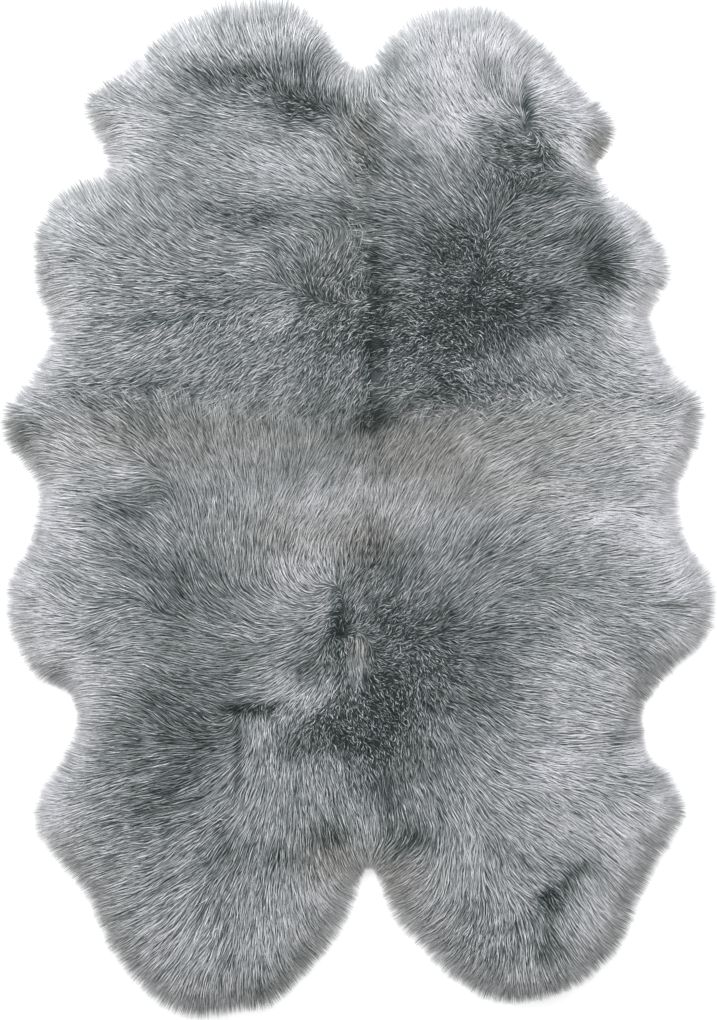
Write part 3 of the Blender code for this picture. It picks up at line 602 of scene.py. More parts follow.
    (0.42, 0.47, 0.04, 0.04, -0.08), (0.43, 0.44, 0.05, 0.05, -0.22),
    (0.5, 0.44, 0.022, 0.025, 0.14), (0.04, 0.38, 0.03, 0.07, -0.18),
    (0.21, 0.4, 0.135, 0.1, -0.28), (0.24, 0.38, 0.04, 0.04, -0.06),
    (0.31, 0.41, 0.015, 0.01, 0.09), (0.36, 0.38, 0.03, 0.03, -0.07),
    (0.39, 0.42, 0.012, 0.03, 0.09), (0.45, 0.41, 0.025, 0.03, -0.14),
    (0.45, 0.41, 0.025, 0.04, -0.12), (0.52, 0.4, 0.02, 0.05, 0.1),
    (0.53, 0.42, 0.02, 0.03, 0.1), (0.01, 0.37, 0.016, 0.012, 0.24),
    (0.11, 0.335, 0.02, 0.02, 0.09), (0.13, 0.34, 0.09, 0.05, -0.08),
    (0.13, 0.33, 0.1, 0.05, -0.03), (0.25, 0.36, 0.08, 0.05, -0.04),
    (0.28, 0.33, 0.05, 0.03, -0.06), (0.35, 0.36, 0.04, 0.03, -0.14),
    (0.48, 0.34, 0.026, 0.022, 0.14), (0.49, 0.34, 0.025, 0.03, 0.1),
    (0.5, 0.35, 0.045, 0.11, 0.2), (0.52, 0.36, 0.03, 0.06, 0.07),
    (0.03, 0.3, 0.02, 0.14, -0.22), (0.06, 0.28, 0.03, 0.02, -0.08),
    (0.15, 0.3, 0.12, 0.07, -0.18), (0.3, 0.32, 0.08, 0.04, -0.03),
    (0.35, 0.285, 0.055, 0.022, 0.14), (0.4, 0.29, 0.015, 0.02, -0.06),
    (0.45, 0.28, 0.05, 0.02, 0.08), (0.45, 0.3, 0.02, 0.03, 0.06),
    (0.46, 0.3, 0.03, 0.03, 0.06), (0.48, 0.3, 0.04, 0.02, 0.14),
    (0.51, 0.3, 0.02, 0.04, 0.07), (0.52, 0.28, 0.026, 0.022, 0.16),
    (0.05, 0.27, 0.012, 0.03, -0.06), (0.18, 0.26, 0.1, 0.06, -0.05),
    (0.22, 0.24, 0.05, 0.02, 0.08), (0.37, 0.23, 0.04, 0.025, 0.07),
    (0.53, 0.24, 0.035, 0.03, 0.14), (0.53, 0.23, 0.02, 0.02, 0.12),
    (0.53, 0.25, 0.03, 0.02, 0.08), (0.55, 0.24, 0.03, 0.04, 0.05),
    (0.15, 0.22, 0.045, 0.03, -0.24), (0.26, 0.225, 0.05, 0.02, -0.14),
    (0.28, 0.22, 0.02, 0.03, -0.05), (0.3, 0.22, 0.12, 0.03, 0.06),
    # The pale band across the middle, and down to the whorl
    (-0.46, 0.185, 0.03, 0.012, -0.14), (0.07, 0.19, 0.03, 0.025, -0.12),
    (0.12, 0.2, 0.03, 0.015, -0.05), (0.17, 0.18, 0.03, 0.02, -0.05),
    (0.3, 0.2, 0.08, 0.04, -0.02), (0.35, 0.2, 0.03, 0.015, 0.08),
    (0.54, 0.18, 0.04, 0.015, -0.07), (0.55, 0.19, 0.03, 0.015, -0.07),
    (-0.6, 0.13, 0.03, 0.025, -0.22), (-0.5, 0.13, 0.1, 0.05, 0.03),
    (-0.38, 0.17, 0.035, 0.015, -0.08), (-0.36, 0.17, 0.03, 0.02, 0.06),
    (-0.35, 0.17, 0.12, 0.06, -0.12), (-0.25, 0.17, 0.02, 0.03, 0.16),
    (-0.22, 0.15, 0.06, 0.02, 0.03), (-0.1, 0.16, 0.12, 0.03, -0.08),
    (-0.02, 0.135, 0.04, 0.015, -0.08), (0.02, 0.15, 0.05, 0.025, -0.1),
    (0.02, 0.17, 0.012, 0.02, 0.06), (0.03, 0.16, 0.04, 0.02, -0.18),
    (0.03, 0.15, 0.02, 0.03, -0.1), (0.06, 0.13, 0.02, 0.03, 0.07),
    (0.45, 0.14, 0.08, 0.03, 0.08), (0.46, 0.17, 0.12, 0.06, 0.04),
    (0.5, 0.14, 0.07, 0.04, 0.06), (0.57, 0.13, 0.02, 0.06, 0.16),
    (0.59, 0.15, 0.02, 0.05, 0.06), (-0.575, 0.1, 0.02, 0.02, 0.06),
    (-0.52, 0.12, 0.04, 0.02, 0.1), (-0.5, 0.1, 0.03, 0.02, 0.14),
    (-0.47, 0.09, 0.08, 0.03, 0.09), (-0.17, 0.11, 0.09, 0.025, 0.05),
    (-0.04, 0.11, 0.03, 0.02, -0.06), (0.2, 0.11, 0.03, 0.022, 0.12),
    (0.25, 0.08, 0.03, 0.022, 0.12), (0.29, 0.1, 0.03, 0.03, -0.06),
    (0.4, 0.09, 0.04, 0.02, 0.08), (0.5, 0.09, 0.1, 0.045, 0.05),
    (0.53, 0.08, 0.05, 0.1, 0.18), (0.55, 0.1, 0.04, 0.06, 0.04),
    (-0.55, 0.03, 0.02, 0.05, 0.1), (-0.53, 0.05, 0.03, 0.04, 0.08),
    (-0.49, 0.075, 0.03, 0.025, -0.06), (-0.42, 0.06, 0.03, 0.02, 0.14),
    (-0.42, 0.06, 0.03, 0.03, 0.1), (-0.2, 0.05, 0.08, 0.05, 0.06),
    (-0.12, 0.075, 0.035, 0.02, -0.08), (-0.01, 0.06, 0.02, 0.04, 0.14),
    (0.02, 0.03, 0.02, 0.04, 0.08), (0.05, 0.03, 0.03, 0.03, 0.12),
    (0.05, 0.03, 0.06, 0.05, 0.05), (0.1, 0.05, 0.025, 0.02, 0.08),
    (0.25, 0.04, 0.15, 0.05, 0.08), (-0.56, 0.0, 0.02, 0.05, 0.05),
    (-0.53, 0.0, 0.04, 0.1, 0.15), (-0.42, 0.0, 0.05, 0.025, -0.14),
    (-0.38, 0.01, 0.05, 0.05, -0.1), (-0.36, 0.01, 0.03, 0.025, -0.04),
    (-0.1, 0.01, 0.1, 0.02, 0.1), (-0.09, 0.0, 0.07, 0.05, 0.08),
    (-0.07, 0.02, 0.03, 0.04, 0.12), (0.08, -0.01, 0.05, 0.03, 0.1),
    (0.19, -0.02, 0.03, 0.02, 0.12), (0.19, 0.02, 0.03, 0.02, 0.06),
    (0.29, 0.02, 0.05, 0.03, 0.05), (0.42, -0.02, 0.06, 0.03, 0.12),
    (0.42, -0.02, 0.12, 0.06, 0.04), (0.45, 0.0, 0.045, 0.025, 0.14),
    (0.54, 0.02, 0.02, 0.06, 0.18), (-0.56, -0.03, 0.02, 0.05, 0.08),
    (-0.5, -0.03, 0.04, 0.06, 0.08), (-0.5, -0.07, 0.03, 0.02, 0.05),
    (-0.48, -0.07, 0.03, 0.03, 0.06), (-0.2, -0.04, 0.02, 0.015, 0.08),
    (-0.1, -0.04, 0.08, 0.04, 0.06), (-0.05, -0.07, 0.02, 0.03, 0.06),
    (0.02, -0.07, 0.045, 0.04, -0.1), (0.02, -0.03, 0.04, 0.04, 0.05),
    (0.08, -0.04, 0.08, 0.02, 0.05), (0.34, -0.06, 0.04, 0.025, 0.07),
    (0.35, -0.07, 0.015, 0.015, 0.06), (0.38, -0.04, 0.015, 0.03, -0.07),
    (0.46, -0.05, 0.1, 0.07, 0.03), (0.47, -0.05, 0.12, 0.3, 0.1),
    (0.48, -0.055, 0.05, 0.015, 0.08), (0.5, -0.03, 0.03, 0.025, 0.22),
    (0.53, -0.05, 0.07, 0.06, 0.07), (0.54, -0.03, 0.03, 0.03, 0.14),
    (0.55, -0.05, 0.02, 0.03, 0.14), (0.55, -0.06, 0.03, 0.05, 0.07),
    (-0.48, -0.115, 0.03, 0.015, 0.08), (-0.4, -0.08, 0.04, 0.03, -0.08),
    (-0.39, -0.08, 0.04, 0.04, -0.05), (-0.32, -0.12, 0.06, 0.04, -0.14),
    (-0.27, -0.09, 0.03, 0.02, -0.1), (-0.17, -0.12, 0.04, 0.05, -0.05),
    (-0.12, -0.12, 0.03, 0.03, 0.16), (-0.08, -0.1, 0.05, 0.05, 0.1),
    (-0.06, -0.09, 0.02, 0.02, 0.1), (0.06, -0.1, 0.06, 0.04, -0.1),
    (0.23, -0.09, 0.04, 0.02, -0.05), (0.46, -0.115, 0.04, 0.015, -0.06),
    (0.55, -0.08, 0.03, 0.025, 0.16), (0.56, -0.1, 0.04, 0.05, 0.05),
    (-0.6, -0.13, 0.022, 0.018, 0.26), (-0.58, -0.17, 0.015, 0.012, -0.16),
    (-0.57, -0.13, 0.02, 0.05, 0.12), (-0.54, -0.17, 0.04, 0.03, 0.1),
    (-0.52, -0.13, 0.03, 0.015, -0.1), (-0.5, -0.15, 0.025, 0.018, 0.14),
    (-0.32, -0.17, 0.06, 0.07, -0.15), (-0.24, -0.17, 0.03, 0.06, -0.08),
    (-0.2, -0.145, 0.03, 0.02, -0.13), (-0.16, -0.15, 0.04, 0.03, 0.1),
    (-0.13, -0.17, 0.05, 0.02, 0.04), (-0.1, -0.13, 0.04, 0.02, 0.06),
    (-0.07, -0.155, 0.035, 0.018, -0.1), (-0.07, -0.13, 0.03, 0.03, 0.05),
    (-0.07, -0.175, 0.015, 0.015, -0.07), (-0.06, -0.17, 0.022, 0.03, 0.22),
    (-0.02, -0.13, 0.015, 0.02, -0.07), (-0.01, -0.17, 0.015, 0.03, 0.12),
    (0.0, -0.17, 0.02, 0.02, 0.05), (0.58, -0.175, 0.026, 0.008, -0.24),
    (0.58, -0.13, 0.03, 0.05, 0.14), (0.6, -0.13, 0.03, 0.04, 0.1),
    (0.6, -0.16, 0.02, 0.03, 0.07), (0.62, -0.17, 0.015, 0.04, 0.1),
    (-0.61, -0.18, 0.01, 0.03, 0.08), (-0.53, -0.185, 0.03, 0.015, 0.08),
    (-0.35, -0.18, 0.04, 0.015, -0.09), (-0.27, -0.19, 0.06, 0.02, -0.04),
    (0.07, -0.19, 0.03, 0.015, 0.05), (0.6, -0.19, 0.02, 0.03, 0.12),
    # The lower left pelt
    (-0.59, -0.2, 0.025, 0.05, 0.07), (-0.56, -0.22, 0.06, 0.08, 0.18),
    (-0.18, -0.2, 0.05, 0.03, 0.05), (-0.06, -0.2, 0.03, 0.015, 0.06),
    (-0.035, -0.21, 0.022, 0.055, -0.32), (-0.54, -0.25, 0.05, 0.03, 0.22),
    (-0.39, -0.23, 0.05, 0.03, -0.04), (-0.18, -0.26, 0.03, 0.015, -0.06),
    (-0.07, -0.25, 0.025, 0.03, -0.09), (-0.53, -0.28, 0.02, 0.03, -0.18),
    (-0.51, -0.32, 0.025, 0.03, 0.09), (-0.5, -0.29, 0.03, 0.03, 0.14),
    (-0.5, -0.31, 0.02, 0.04, 0.12), (-0.42, -0.3, 0.03, 0.02, 0.05),
    (-0.26, -0.29, 0.07, 0.04, -0.17), (-0.24, -0.31, 0.03, 0.02, -0.1),
    (-0.12, -0.3, 0.05, 0.022, 0.18), (-0.1, -0.3, 0.02, 0.02, -0.07),
    (-0.09, -0.29, 0.04, 0.035, -0.12), (-0.09, -0.28, 0.02, 0.04, -0.1),
    (-0.06, -0.31, 0.02, 0.015, 0.08), (-0.03, -0.3, 0.015, 0.02, -0.09),
    (-0.03, -0.29, 0.03, 0.015, -0.08), (-0.48, -0.33, 0.03, 0.05, 0.12),
    (-0.48, -0.35, 0.02, 0.04, 0.1), (-0.36, -0.33, 0.04, 0.02, -0.06),
    (-0.35, -0.35, 0.055, 0.045, -0.16), (-0.35, -0.34, 0.04, 0.02, -0.05),
    (-0.27, -0.37, 0.05, 0.08, -0.04), (-0.18, -0.355, 0.055, 0.013, -0.3),
    (-0.13, -0.33, 0.03, 0.025, 0.1), (-0.13, -0.36, 0.03, 0.02, 0.07),
    (-0.12, -0.36, 0.04, 0.03, 0.06), (-0.08, -0.34, 0.035, 0.018, 0.18),
    (-0.05, -0.33, 0.025, 0.015, 0.06), (-0.03, -0.36, 0.02, 0.02, -0.08),
    (-0.03, -0.35, 0.015, 0.03, -0.06), (-0.5, -0.4, 0.02, 0.06, 0.06),
    (-0.49, -0.42, 0.02, 0.03, 0.1), (-0.49, -0.42, 0.02, 0.04, 0.06),
    (-0.43, -0.39, 0.03, 0.015, -0.08), (-0.42, -0.42, 0.04, 0.03, -0.06),
    (-0.42, -0.39, 0.03, 0.03, -0.06), (-0.28, -0.39, 0.06, 0.05, -0.12),
    (-0.27, -0.41, 0.02, 0.015, -0.08), (-0.18, -0.38, 0.03, 0.02, -0.06),
    (-0.17, -0.4, 0.03, 0.028, 0.16), (-0.1, -0.42, 0.07, 0.03, -0.1),
    (-0.09, -0.42, 0.05, 0.012, -0.07), (-0.05, -0.39, 0.065, 0.04, -0.28),
    (-0.33, -0.45, 0.1, 0.065, -0.2), (-0.22, -0.43, 0.05, 0.03, 0.05),
    (-0.22, -0.46, 0.02, 0.03, 0.06), (-0.215, -0.44, 0.007, 0.055, -0.32),
    (-0.215, -0.45, 0.02, 0.04, 0.08), (-0.13, -0.43, 0.05, 0.03, -0.06),
    (-0.09, -0.46, 0.05, 0.012, 0.05), (-0.54, -0.5, 0.03, 0.025, 0.14),
    (-0.42, -0.49, 0.03, 0.015, 0.06), (-0.35, -0.52, 0.06, 0.03, -0.14),
    (-0.32, -0.48, 0.03, 0.015, -0.06), (-0.22, -0.51, 0.02, 0.015, -0.08),
    (-0.14, -0.51, 0.03, 0.012, 0.07), (-0.13, -0.52, 0.025, 0.02, -0.1),
    (-0.12, -0.52, 0.08, 0.04, -0.07), (-0.02, -0.48, 0.05, 0.03, -0.07),
    (-0.56, -0.57, 0.02, 0.06, 0.06), (-0.55, -0.56, 0.03, 0.03, 0.12),
    (-0.55, -0.54, 0.025, 0.04, 0.08), (-0.53, -0.53, 0.04, 0.04, 0.1),
    (-0.53, -0.55, 0.03, 0.03, 0.14), (-0.38, -0.54, 0.025, 0.03, -0.15),
    (-0.35, -0.57, 0.04, 0.06, -0.04), (-0.24, -0.55, 0.03, 0.04, -0.05),
    (-0.08, -0.55, 0.02, 0.02, 0.07), (-0.05, -0.57, 0.03, 0.04, -0.08),
    (-0.56, -0.62, 0.02, 0.03, 0.06), (-0.53, -0.59, 0.02, 0.02, 0.07),
    (-0.45, -0.6, 0.08, 0.1, 0.06), (-0.25, -0.61, 0.025, 0.06, -0.05),
    (-0.23, -0.6, 0.04, 0.03, -0.12), (-0.18, -0.61, 0.07, 0.016, -0.1),
    (-0.12, -0.61, 0.05, 0.03, -0.1), (-0.09, -0.62, 0.08, 0.03, -0.04),
    (-0.07, -0.58, 0.04, 0.02, -0.12), (-0.05, -0.58, 0.015, 0.03, -0.07),
    (-0.04, -0.58, 0.02, 0.03, -0.1), (-0.03, -0.58, 0.02, 0.02, -0.06),
    (-0.43, -0.63, 0.02, 0.016, -0.14), (-0.12, -0.64, 0.05, 0.02, -0.08),
    (-0.04, -0.67, 0.03, 0.04, 0.12), (-0.35, -0.675, 0.03, 0.018, -0.11),
    (-0.33, -0.68, 0.04, 0.02, -0.05), (-0.32, -0.69, 0.03, 0.022, 0.12),
    (-0.26, -0.715, 0.03, 0.015, -0.08), (-0.25, -0.72, 0.05, 0.02, -0.05),
    (-0.08, -0.69, 0.04, 0.03, 0.06), (-0.33, -0.76, 0.08, 0.06, 0.05),
    (-0.21, -0.74, 0.02, 0.02, -0.06), (-0.16, -0.74, 0.1, 0.03, 0.07),
    (-0.33, -0.8, 0.1, 0.06, 0.08), (-0.25, -0.78, 0.025, 0.025, -0.05),
    (-0.1, -0.8, 0.04, 0.04, -0.05), (-0.35, -0.86, 0.02, 0.02, -0.06),
    (-0.28, -0.85, 0.06, 0.02, 0.08), (-0.17, -0.86, 0.03, 0.02, -0.09),
    (-0.14, -0.86, 0.04, 0.02, -0.07),
    # The lower right pelt
    (0.03, -0.22, 0.05, 0.02, 0.05), (0.06, -0.2, 0.055, 0.04, -0.2),
    (0.13, -0.2, 0.04, 0.02, -0.06), (0.18, -0.2, 0.05, 0.03, -0.06),
    (0.2, -0.2, 0.09, 0.1, -0.1), (0.25, -0.22, 0.06, 0.03, -0.05),
    (0.4, -0.22, 0.03, 0.022, 0.12), (0.56, -0.2, 0.07, 0.08, 0.14),
    (0.57, -0.22, 0.03, 0.02, 0.12), (0.0, -0.27, 0.013, 0.035, 0.22),
    (0.02, -0.25, 0.02, 0.03, -0.07), (0.02, -0.26, 0.02, 0.015, -0.06),
    (0.23, -0.27, 0.05, 0.02, -0.04), (0.35, -0.27, 0.03, 0.022, 0.12),
    (0.42, -0.25, 0.03, 0.01, 0.06), (0.46, -0.23, 0.015, 0.04, -0.05),
    (0.57, -0.24, 0.03, 0.015, 0.11), (0.58, -0.24, 0.03, 0.015, 0.1),
    (0.08, -0.32, 0.04, 0.04, 0.05), (0.13, -0.3, 0.12, 0.11, -0.14),
    (0.24, -0.28, 0.02, 0.02, -0.05), (0.47, -0.3, 0.025, 0.03, 0.12),
    (0.49, -0.295, 0.02, 0.012, 0.16), (0.5, -0.28, 0.02, 0.05, -0.14),
    (0.05, -0.33, 0.08, 0.065, -0.26), (0.17, -0.35, 0.06, 0.02, -0.06),
    (0.2, -0.335, 0.04, 0.012, -0.09), (0.24, -0.35, 0.04, 0.08, -0.1),
    (0.37, -0.33, 0.1, 0.08, 0.1), (0.39, -0.34, 0.022, 0.022, -0.12),
    (0.4, -0.37, 0.06, 0.04, 0.05), (0.48, -0.33, 0.025, 0.05, 0.07),
    (0.0, -0.39, 0.025, 0.025, 0.12), (0.03, -0.42, 0.045, 0.04, -0.2),
    (0.08, -0.38, 0.03, 0.02, -0.07), (0.09, -0.4, 0.02, 0.025, -0.08),
    (0.2, -0.38, 0.08, 0.02, -0.05), (0.465, -0.405, 0.018, 0.016, -0.14),
    (0.07, -0.43, 0.02, 0.02, -0.07), (0.12, -0.43, 0.05, 0.03, -0.08),
    (0.13, -0.47, 0.06, 0.05, -0.12), (0.14, -0.45, 0.025, 0.015, -0.1),
    (0.33, -0.47, 0.06, 0.03, 0.1), (0.36, -0.46, 0.12, 0.14, 0.03),
    (0.37, -0.44, 0.035, 0.025, 0.24), (0.5, -0.43, 0.02, 0.02, 0.16),
    (0.5, -0.44, 0.03, 0.02, 0.23), (0.51, -0.455, 0.03, 0.012, 0.1),
    (0.0, -0.5, 0.02, 0.03, -0.05), (0.05, -0.5, 0.06, 0.05, -0.14),
    (0.05, -0.51, 0.02, 0.04, -0.14), (0.33, -0.48, 0.08, 0.03, 0.05),
    (0.4, -0.5, 0.12, 0.13, 0.12), (0.47, -0.52, 0.02, 0.03, 0.06),
    (0.54, -0.52, 0.025, 0.035, 0.09), (0.01, -0.57, 0.015, 0.03, 0.06),
    (0.03, -0.56, 0.012, 0.04, 0.16), (0.05, -0.53, 0.02, 0.03, -0.06),
    (0.24, -0.57, 0.05, 0.03, -0.05), (0.29, -0.55, 0.02, 0.02, 0.06),
    (0.35, -0.56, 0.03, 0.022, 0.12), (0.4, -0.56, 0.1, 0.02, 0.12),
    (0.5, -0.55, 0.03, 0.022, 0.14), (0.53, -0.53, 0.02, 0.03, 0.18),
    (0.54, -0.53, 0.02, 0.04, 0.12), (0.56, -0.55, 0.015, 0.03, 0.09),
    (0.05, -0.6, 0.025, 0.02, -0.07), (0.08, -0.6, 0.06, 0.06, -0.04),
    (0.1, -0.58, 0.04, 0.02, -0.12), (0.1, -0.59, 0.03, 0.03, -0.16),
    (0.11, -0.58, 0.05, 0.03, -0.08), (0.2, -0.62, 0.03, 0.022, 0.12),
    (0.21, -0.62, 0.12, 0.06, 0.04), (0.24, -0.61, 0.05, 0.02, -0.06),
    (0.25, -0.6, 0.04, 0.03, -0.07), (0.35, -0.58, 0.03, 0.02, 0.08),
    (0.47, -0.6, 0.06, 0.05, 0.1), (0.48, -0.62, 0.02, 0.03, 0.14),
    (0.48, -0.58, 0.04, 0.03, 0.06), (0.07, -0.63, 0.03, 0.04, -0.07),
    (0.15, -0.63, 0.03, 0.02, 0.06), (0.37, -0.67, 0.03, 0.015, -0.14),
    (0.385, -0.645, 0.018, 0.012, -0.12), (0.4, -0.64, 0.032, 0.012, -0.2),
    (0.4, -0.67, 0.03, 0.015, -0.07), (0.46, -0.63, 0.03, 0.03, 0.07),
    (0.07, -0.7, 0.02, 0.03, -0.06), (0.13, -0.7, 0.05, 0.08, 0.08),
    (0.19, -0.72, 0.02, 0.012, -0.08), (0.21, -0.72, 0.022, 0.022, -0.1),
    (0.29, -0.71, 0.05, 0.015, 0.07), (0.34, -0.69, 0.026, 0.02, -0.14),
    (0.345, -0.715, 0.018, 0.018, -0.22), (0.345, -0.69, 0.022, 0.016, -0.14),
    (0.37, -0.68, 0.02, 0.02, -0.05), (0.42, -0.72, 0.05, 0.05, 0.16),
    (0.44, -0.71, 0.02, 0.02, 0.07), (0.48, -0.7, 0.015, 0.03, -0.07),
    (0.2, -0.76, 0.03, 0.02, 0.06), (0.22, -0.77, 0.015, 0.015, 0.06),
    (0.22, -0.77, 0.02, 0.02, 0.06), (0.225, -0.765, 0.025, 0.02, -0.03),
    (0.26, -0.735, 0.035, 0.015, 0.08), (0.26, -0.73, 0.04, 0.04, 0.06),
    (0.27, -0.74, 0.03, 0.008, -0.2), (0.32, -0.77, 0.02, 0.025, -0.1),
    (0.33, -0.75, 0.025, 0.03, -0.07), (0.41, -0.74, 0.035, 0.04, 0.15),
    (0.24, -0.82, 0.022, 0.022, -0.12), (0.34, -0.79, 0.02, 0.02, -0.06),
    (0.35, -0.78, 0.022, 0.022, -0.16), (0.37, -0.81, 0.04, 0.02, 0.08),
    (0.4, -0.78, 0.02, 0.03, 0.06), (0.28, -0.83, 0.1, 0.03, 0.07),
    (0.29, -0.83, 0.04, 0.02, 0.07),
)

# Painted shade in creases and partings and painted light along crests and fold edges, as
# darker and paler lines across or along the wool: half width, change of shade and the spots
# each runs through. Noise moves them by up to LINE_RAGGED.
PAINTED_CREASE_AND_CREST_LIGHT = (
    (0.01, 0.2, ((0.345, 0.655), (0.385, 0.625), (0.426, 0.589), (0.47, 0.545))),
    (0.013, 0.12, ((0.47, 0.545), (0.52, 0.45))),
    (0.012, -0.12, ((0.328, 0.635), (0.37, 0.6), (0.405, 0.565))),
    (0.008, -0.1, ((-0.222, -0.385), (-0.212, -0.43), (-0.218, -0.49))),
    (0.008, -0.2, ((-0.214, -0.352), (-0.175, -0.36), (-0.136, -0.346))),
    (0.01, -0.12, ((0.316, -0.712), (0.345, -0.682), (0.402, -0.632))),
    (0.006, -0.08, ((0.16, -0.768), (0.246, -0.742), (0.292, -0.736))),
    (0.006, -0.2, ((0.55, -0.17), (0.605, -0.163))),
    (0.007, 0.2, ((0.43, 0.58), (0.47, 0.53), (0.51, 0.46))),
    (0.012, 0.03, ((-0.045, -0.13), (-0.058, -0.165), (-0.066, -0.205))),
    (0.009, -0.08, ((-0.036, -0.15), (-0.035, -0.2), (-0.05, -0.245))),
    (0.007, -0.26, ((0.297, 0.775), (0.302, 0.72), (0.318, 0.668))),
    (0.009, 0.2, ((0.315, 0.79), (0.345, 0.74), (0.38, 0.69), (0.395, 0.64))),
)
LINE_RAGGED = 0.010
LINE_RAGGED_SIZE = 0.014

# Where the wool is a warmer grey: x, y, half width, half height and how much
WARMTH = (
    (-0.3, 0.13, 0.28, 0.05, 0.7), (0.12, 0.1, 0.12, 0.07, 1.0), (0.38, 0.14, 0.16, 0.04, 0.7),
    (-0.12, -0.04, 0.11, 0.06, 0.6), (0.0, 0.66, 0.035, 0.08, 0.6),
    (-0.04, 0.42, 0.05, 0.08, 0.3), (0.0, -0.25, 0.016, 0.022, 0.9),
    (0.02, -0.05, 0.06, 0.05, 0.7), (0.3, 0.03, 0.1, 0.04, 0.6),
    (-0.05, -0.62, 0.06, 0.05, 0.8), (0.08, -0.66, 0.05, 0.05, 0.6),
    (0.43, 0.645, 0.02, 0.04, 0.8),
)

# How each pelt's long wool is divided: name, pelt, lowest y and highest y
WOOL_PIECES = (
    ("wool_upper_left_top", "upper_left", 0.48, 1.0),
    ("wool_upper_left_middle", "upper_left", -1.0, 0.48),
    ("wool_upper_right_top", "upper_right", 0.48, 1.0),
    ("wool_upper_right_middle", "upper_right", -1.0, 0.48),
    ("wool_lower_left_flank", "lower_left", -0.34, 1.0),
    ("wool_lower_left_haunch", "lower_left", -1.0, -0.34),
    ("wool_lower_right_flank", "lower_right", -0.34, 1.0),
    ("wool_lower_right_haunch", "lower_right", -1.0, -0.34),
)


# ---- The map of the solids


def blurred(grid, times):
    """The grid with each cell averaged with its neighbours, so many times."""
    for _ in range(times):
        wide = np.pad(grid, 1, mode="edge")
        grid = (wide[:-2] + 2 * wide[1:-1] + wide[2:]) / 4
        grid = (grid[:, :-2] + 2 * grid[:, 1:-1] + grid[:, 2:]) / 4
    return grid


def look_down(xs, ys):
    """The solids' height and the number of the pelt under each grid point."""
    heights = np.zeros((len(ys), len(xs)))
    owners = np.full((len(ys), len(xs)), -1)
    down = Vector((0, 0, -1))
    for number, pelt in enumerate(PELTS):
        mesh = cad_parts["pelt_" + pelt].data
        corners = [vertex.co for vertex in mesh.vertices]
        tree = BVHTree.FromPolygons(corners, [face.vertices for face in mesh.polygons])
        low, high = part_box("pelt_" + pelt)
        for row in np.flatnonzero((ys > low.y) & (ys < high.y)):
            for column in np.flatnonzero((xs > low.x) & (xs < high.x)):
                above = Vector((xs[column], ys[row], ABOVE_ALL))
                hit = tree.ray_cast(above, down)[0]
                if hit and hit.z > heights[row, column]:
                    heights[row, column] = hit.z
                    owners[row, column] = number
    return heights, owners


def mended(heights, owners):
    """The map with the single cells filled that lie in the crack between two pelts."""
    for _ in range(2):
        owners, heights = owners.T.copy(), heights.T.copy()
        crack = (owners[1:-1] < 0) & (owners[:-2] >= 0) & (owners[2:] >= 0)
        owners[1:-1][crack] = owners[:-2][crack]
        heights[1:-1][crack] = (heights[:-2][crack] + heights[2:][crack]) / 2
    return heights, owners


def distances(xs, ys, points):
    """How far each grid point is from the nearest of these points."""
    tree = kdtree.KDTree(len(points))
    for number, (x, y) in enumerate(points):
        tree.insert((x, y, 0), number)
    tree.balance()
    return np.array([[tree.find((x, y, 0))[2] for x in xs] for y in ys])


def border_points(xs, ys, owners, apart):
    """The points halfway between neighbouring cells whose owners are this way apart."""
    points = []
    for step_row, step_column in ((0, 1), (1, 0)):
        here = owners[: len(ys) - step_row, : len(xs) - step_column]
        there = owners[step_row:, step_column:]
        for row, column in zip(*np.nonzero(apart(here, there))):
            middle_x = (xs[column] + xs[column + step_column]) / 2
            middle_y = (ys[row] + ys[row + step_row]) / 2
            points.append((middle_x, middle_y))
    return points


def survey():
    """The map: heights, owners, distance in from the rim and from the seams."""
    low, high = solid_box
    xs = np.arange(low[0] - MAP_MARGIN, high[0] + MAP_MARGIN, CELL)
    ys = np.arange(low[1] - MAP_MARGIN, high[1] + MAP_MARGIN, CELL)
    heights, owners = mended(*look_down(xs, ys))
    rim = border_points(xs, ys, owners, lambda a, b: (a < 0) != (b < 0))
    seams = border_points(xs, ys, owners, lambda a, b: (a != b) & (a >= 0) & (b >= 0))
    from_rim = distances(xs, ys, rim) * np.where(owners < 0, -1, 1)
    from_rim = blurred(from_rim, SMOOTH_RIM)
    slope_y, slope_x = np.gradient(from_rim, CELL)
    steep = np.hypot(slope_x, slope_y) + TINY
    return SimpleNamespace(
        xs=xs,
        ys=ys,
        owners=owners,
        heights=blurred(heights, SMOOTH_HEIGHTS),
        from_rim=from_rim,
        from_seam=distances(xs, ys, seams),
        out_x=blurred(-slope_x / steep, SMOOTH_OUTWARD),
        out_y=blurred(-slope_y / steep, SMOOTH_OUTWARD),
    )


def read(grid, x, y):
    """The grid's values at points of the rug, blended between its cells. A grid of any
    fineness lies over the whole map."""
    rows, columns = grid.shape
    column = (x - land.xs[0]) / (land.xs[-1] - land.xs[0]) * (columns - 1)
    row = (y - land.ys[0]) / (land.ys[-1] - land.ys[0]) * (rows - 1)
    column = np.clip(column, 0, columns - LAST_PLACE)
    row = np.clip(row, 0, rows - LAST_PLACE)
    c, r = column.astype(int), row.astype(int)
    across, up = column - c, row - r
    near = grid[r, c] * (1 - across) + grid[r, c + 1] * across
    far = grid[r + 1, c] * (1 - across) + grid[r + 1, c + 1] * across
    return near * (1 - up) + far * up


def owner_at(x, y):
    """The number of the pelt at points of the rug, or -1 off it."""
    column = np.clip(np.rint((x - land.xs[0]) / CELL), 0, len(land.xs) - 1)
    row = np.clip(np.rint((y - land.ys[0]) / CELL), 0, len(land.ys) - 1)
    return land.owners[row.astype(int), column.astype(int)]


# ---- How the wool lies


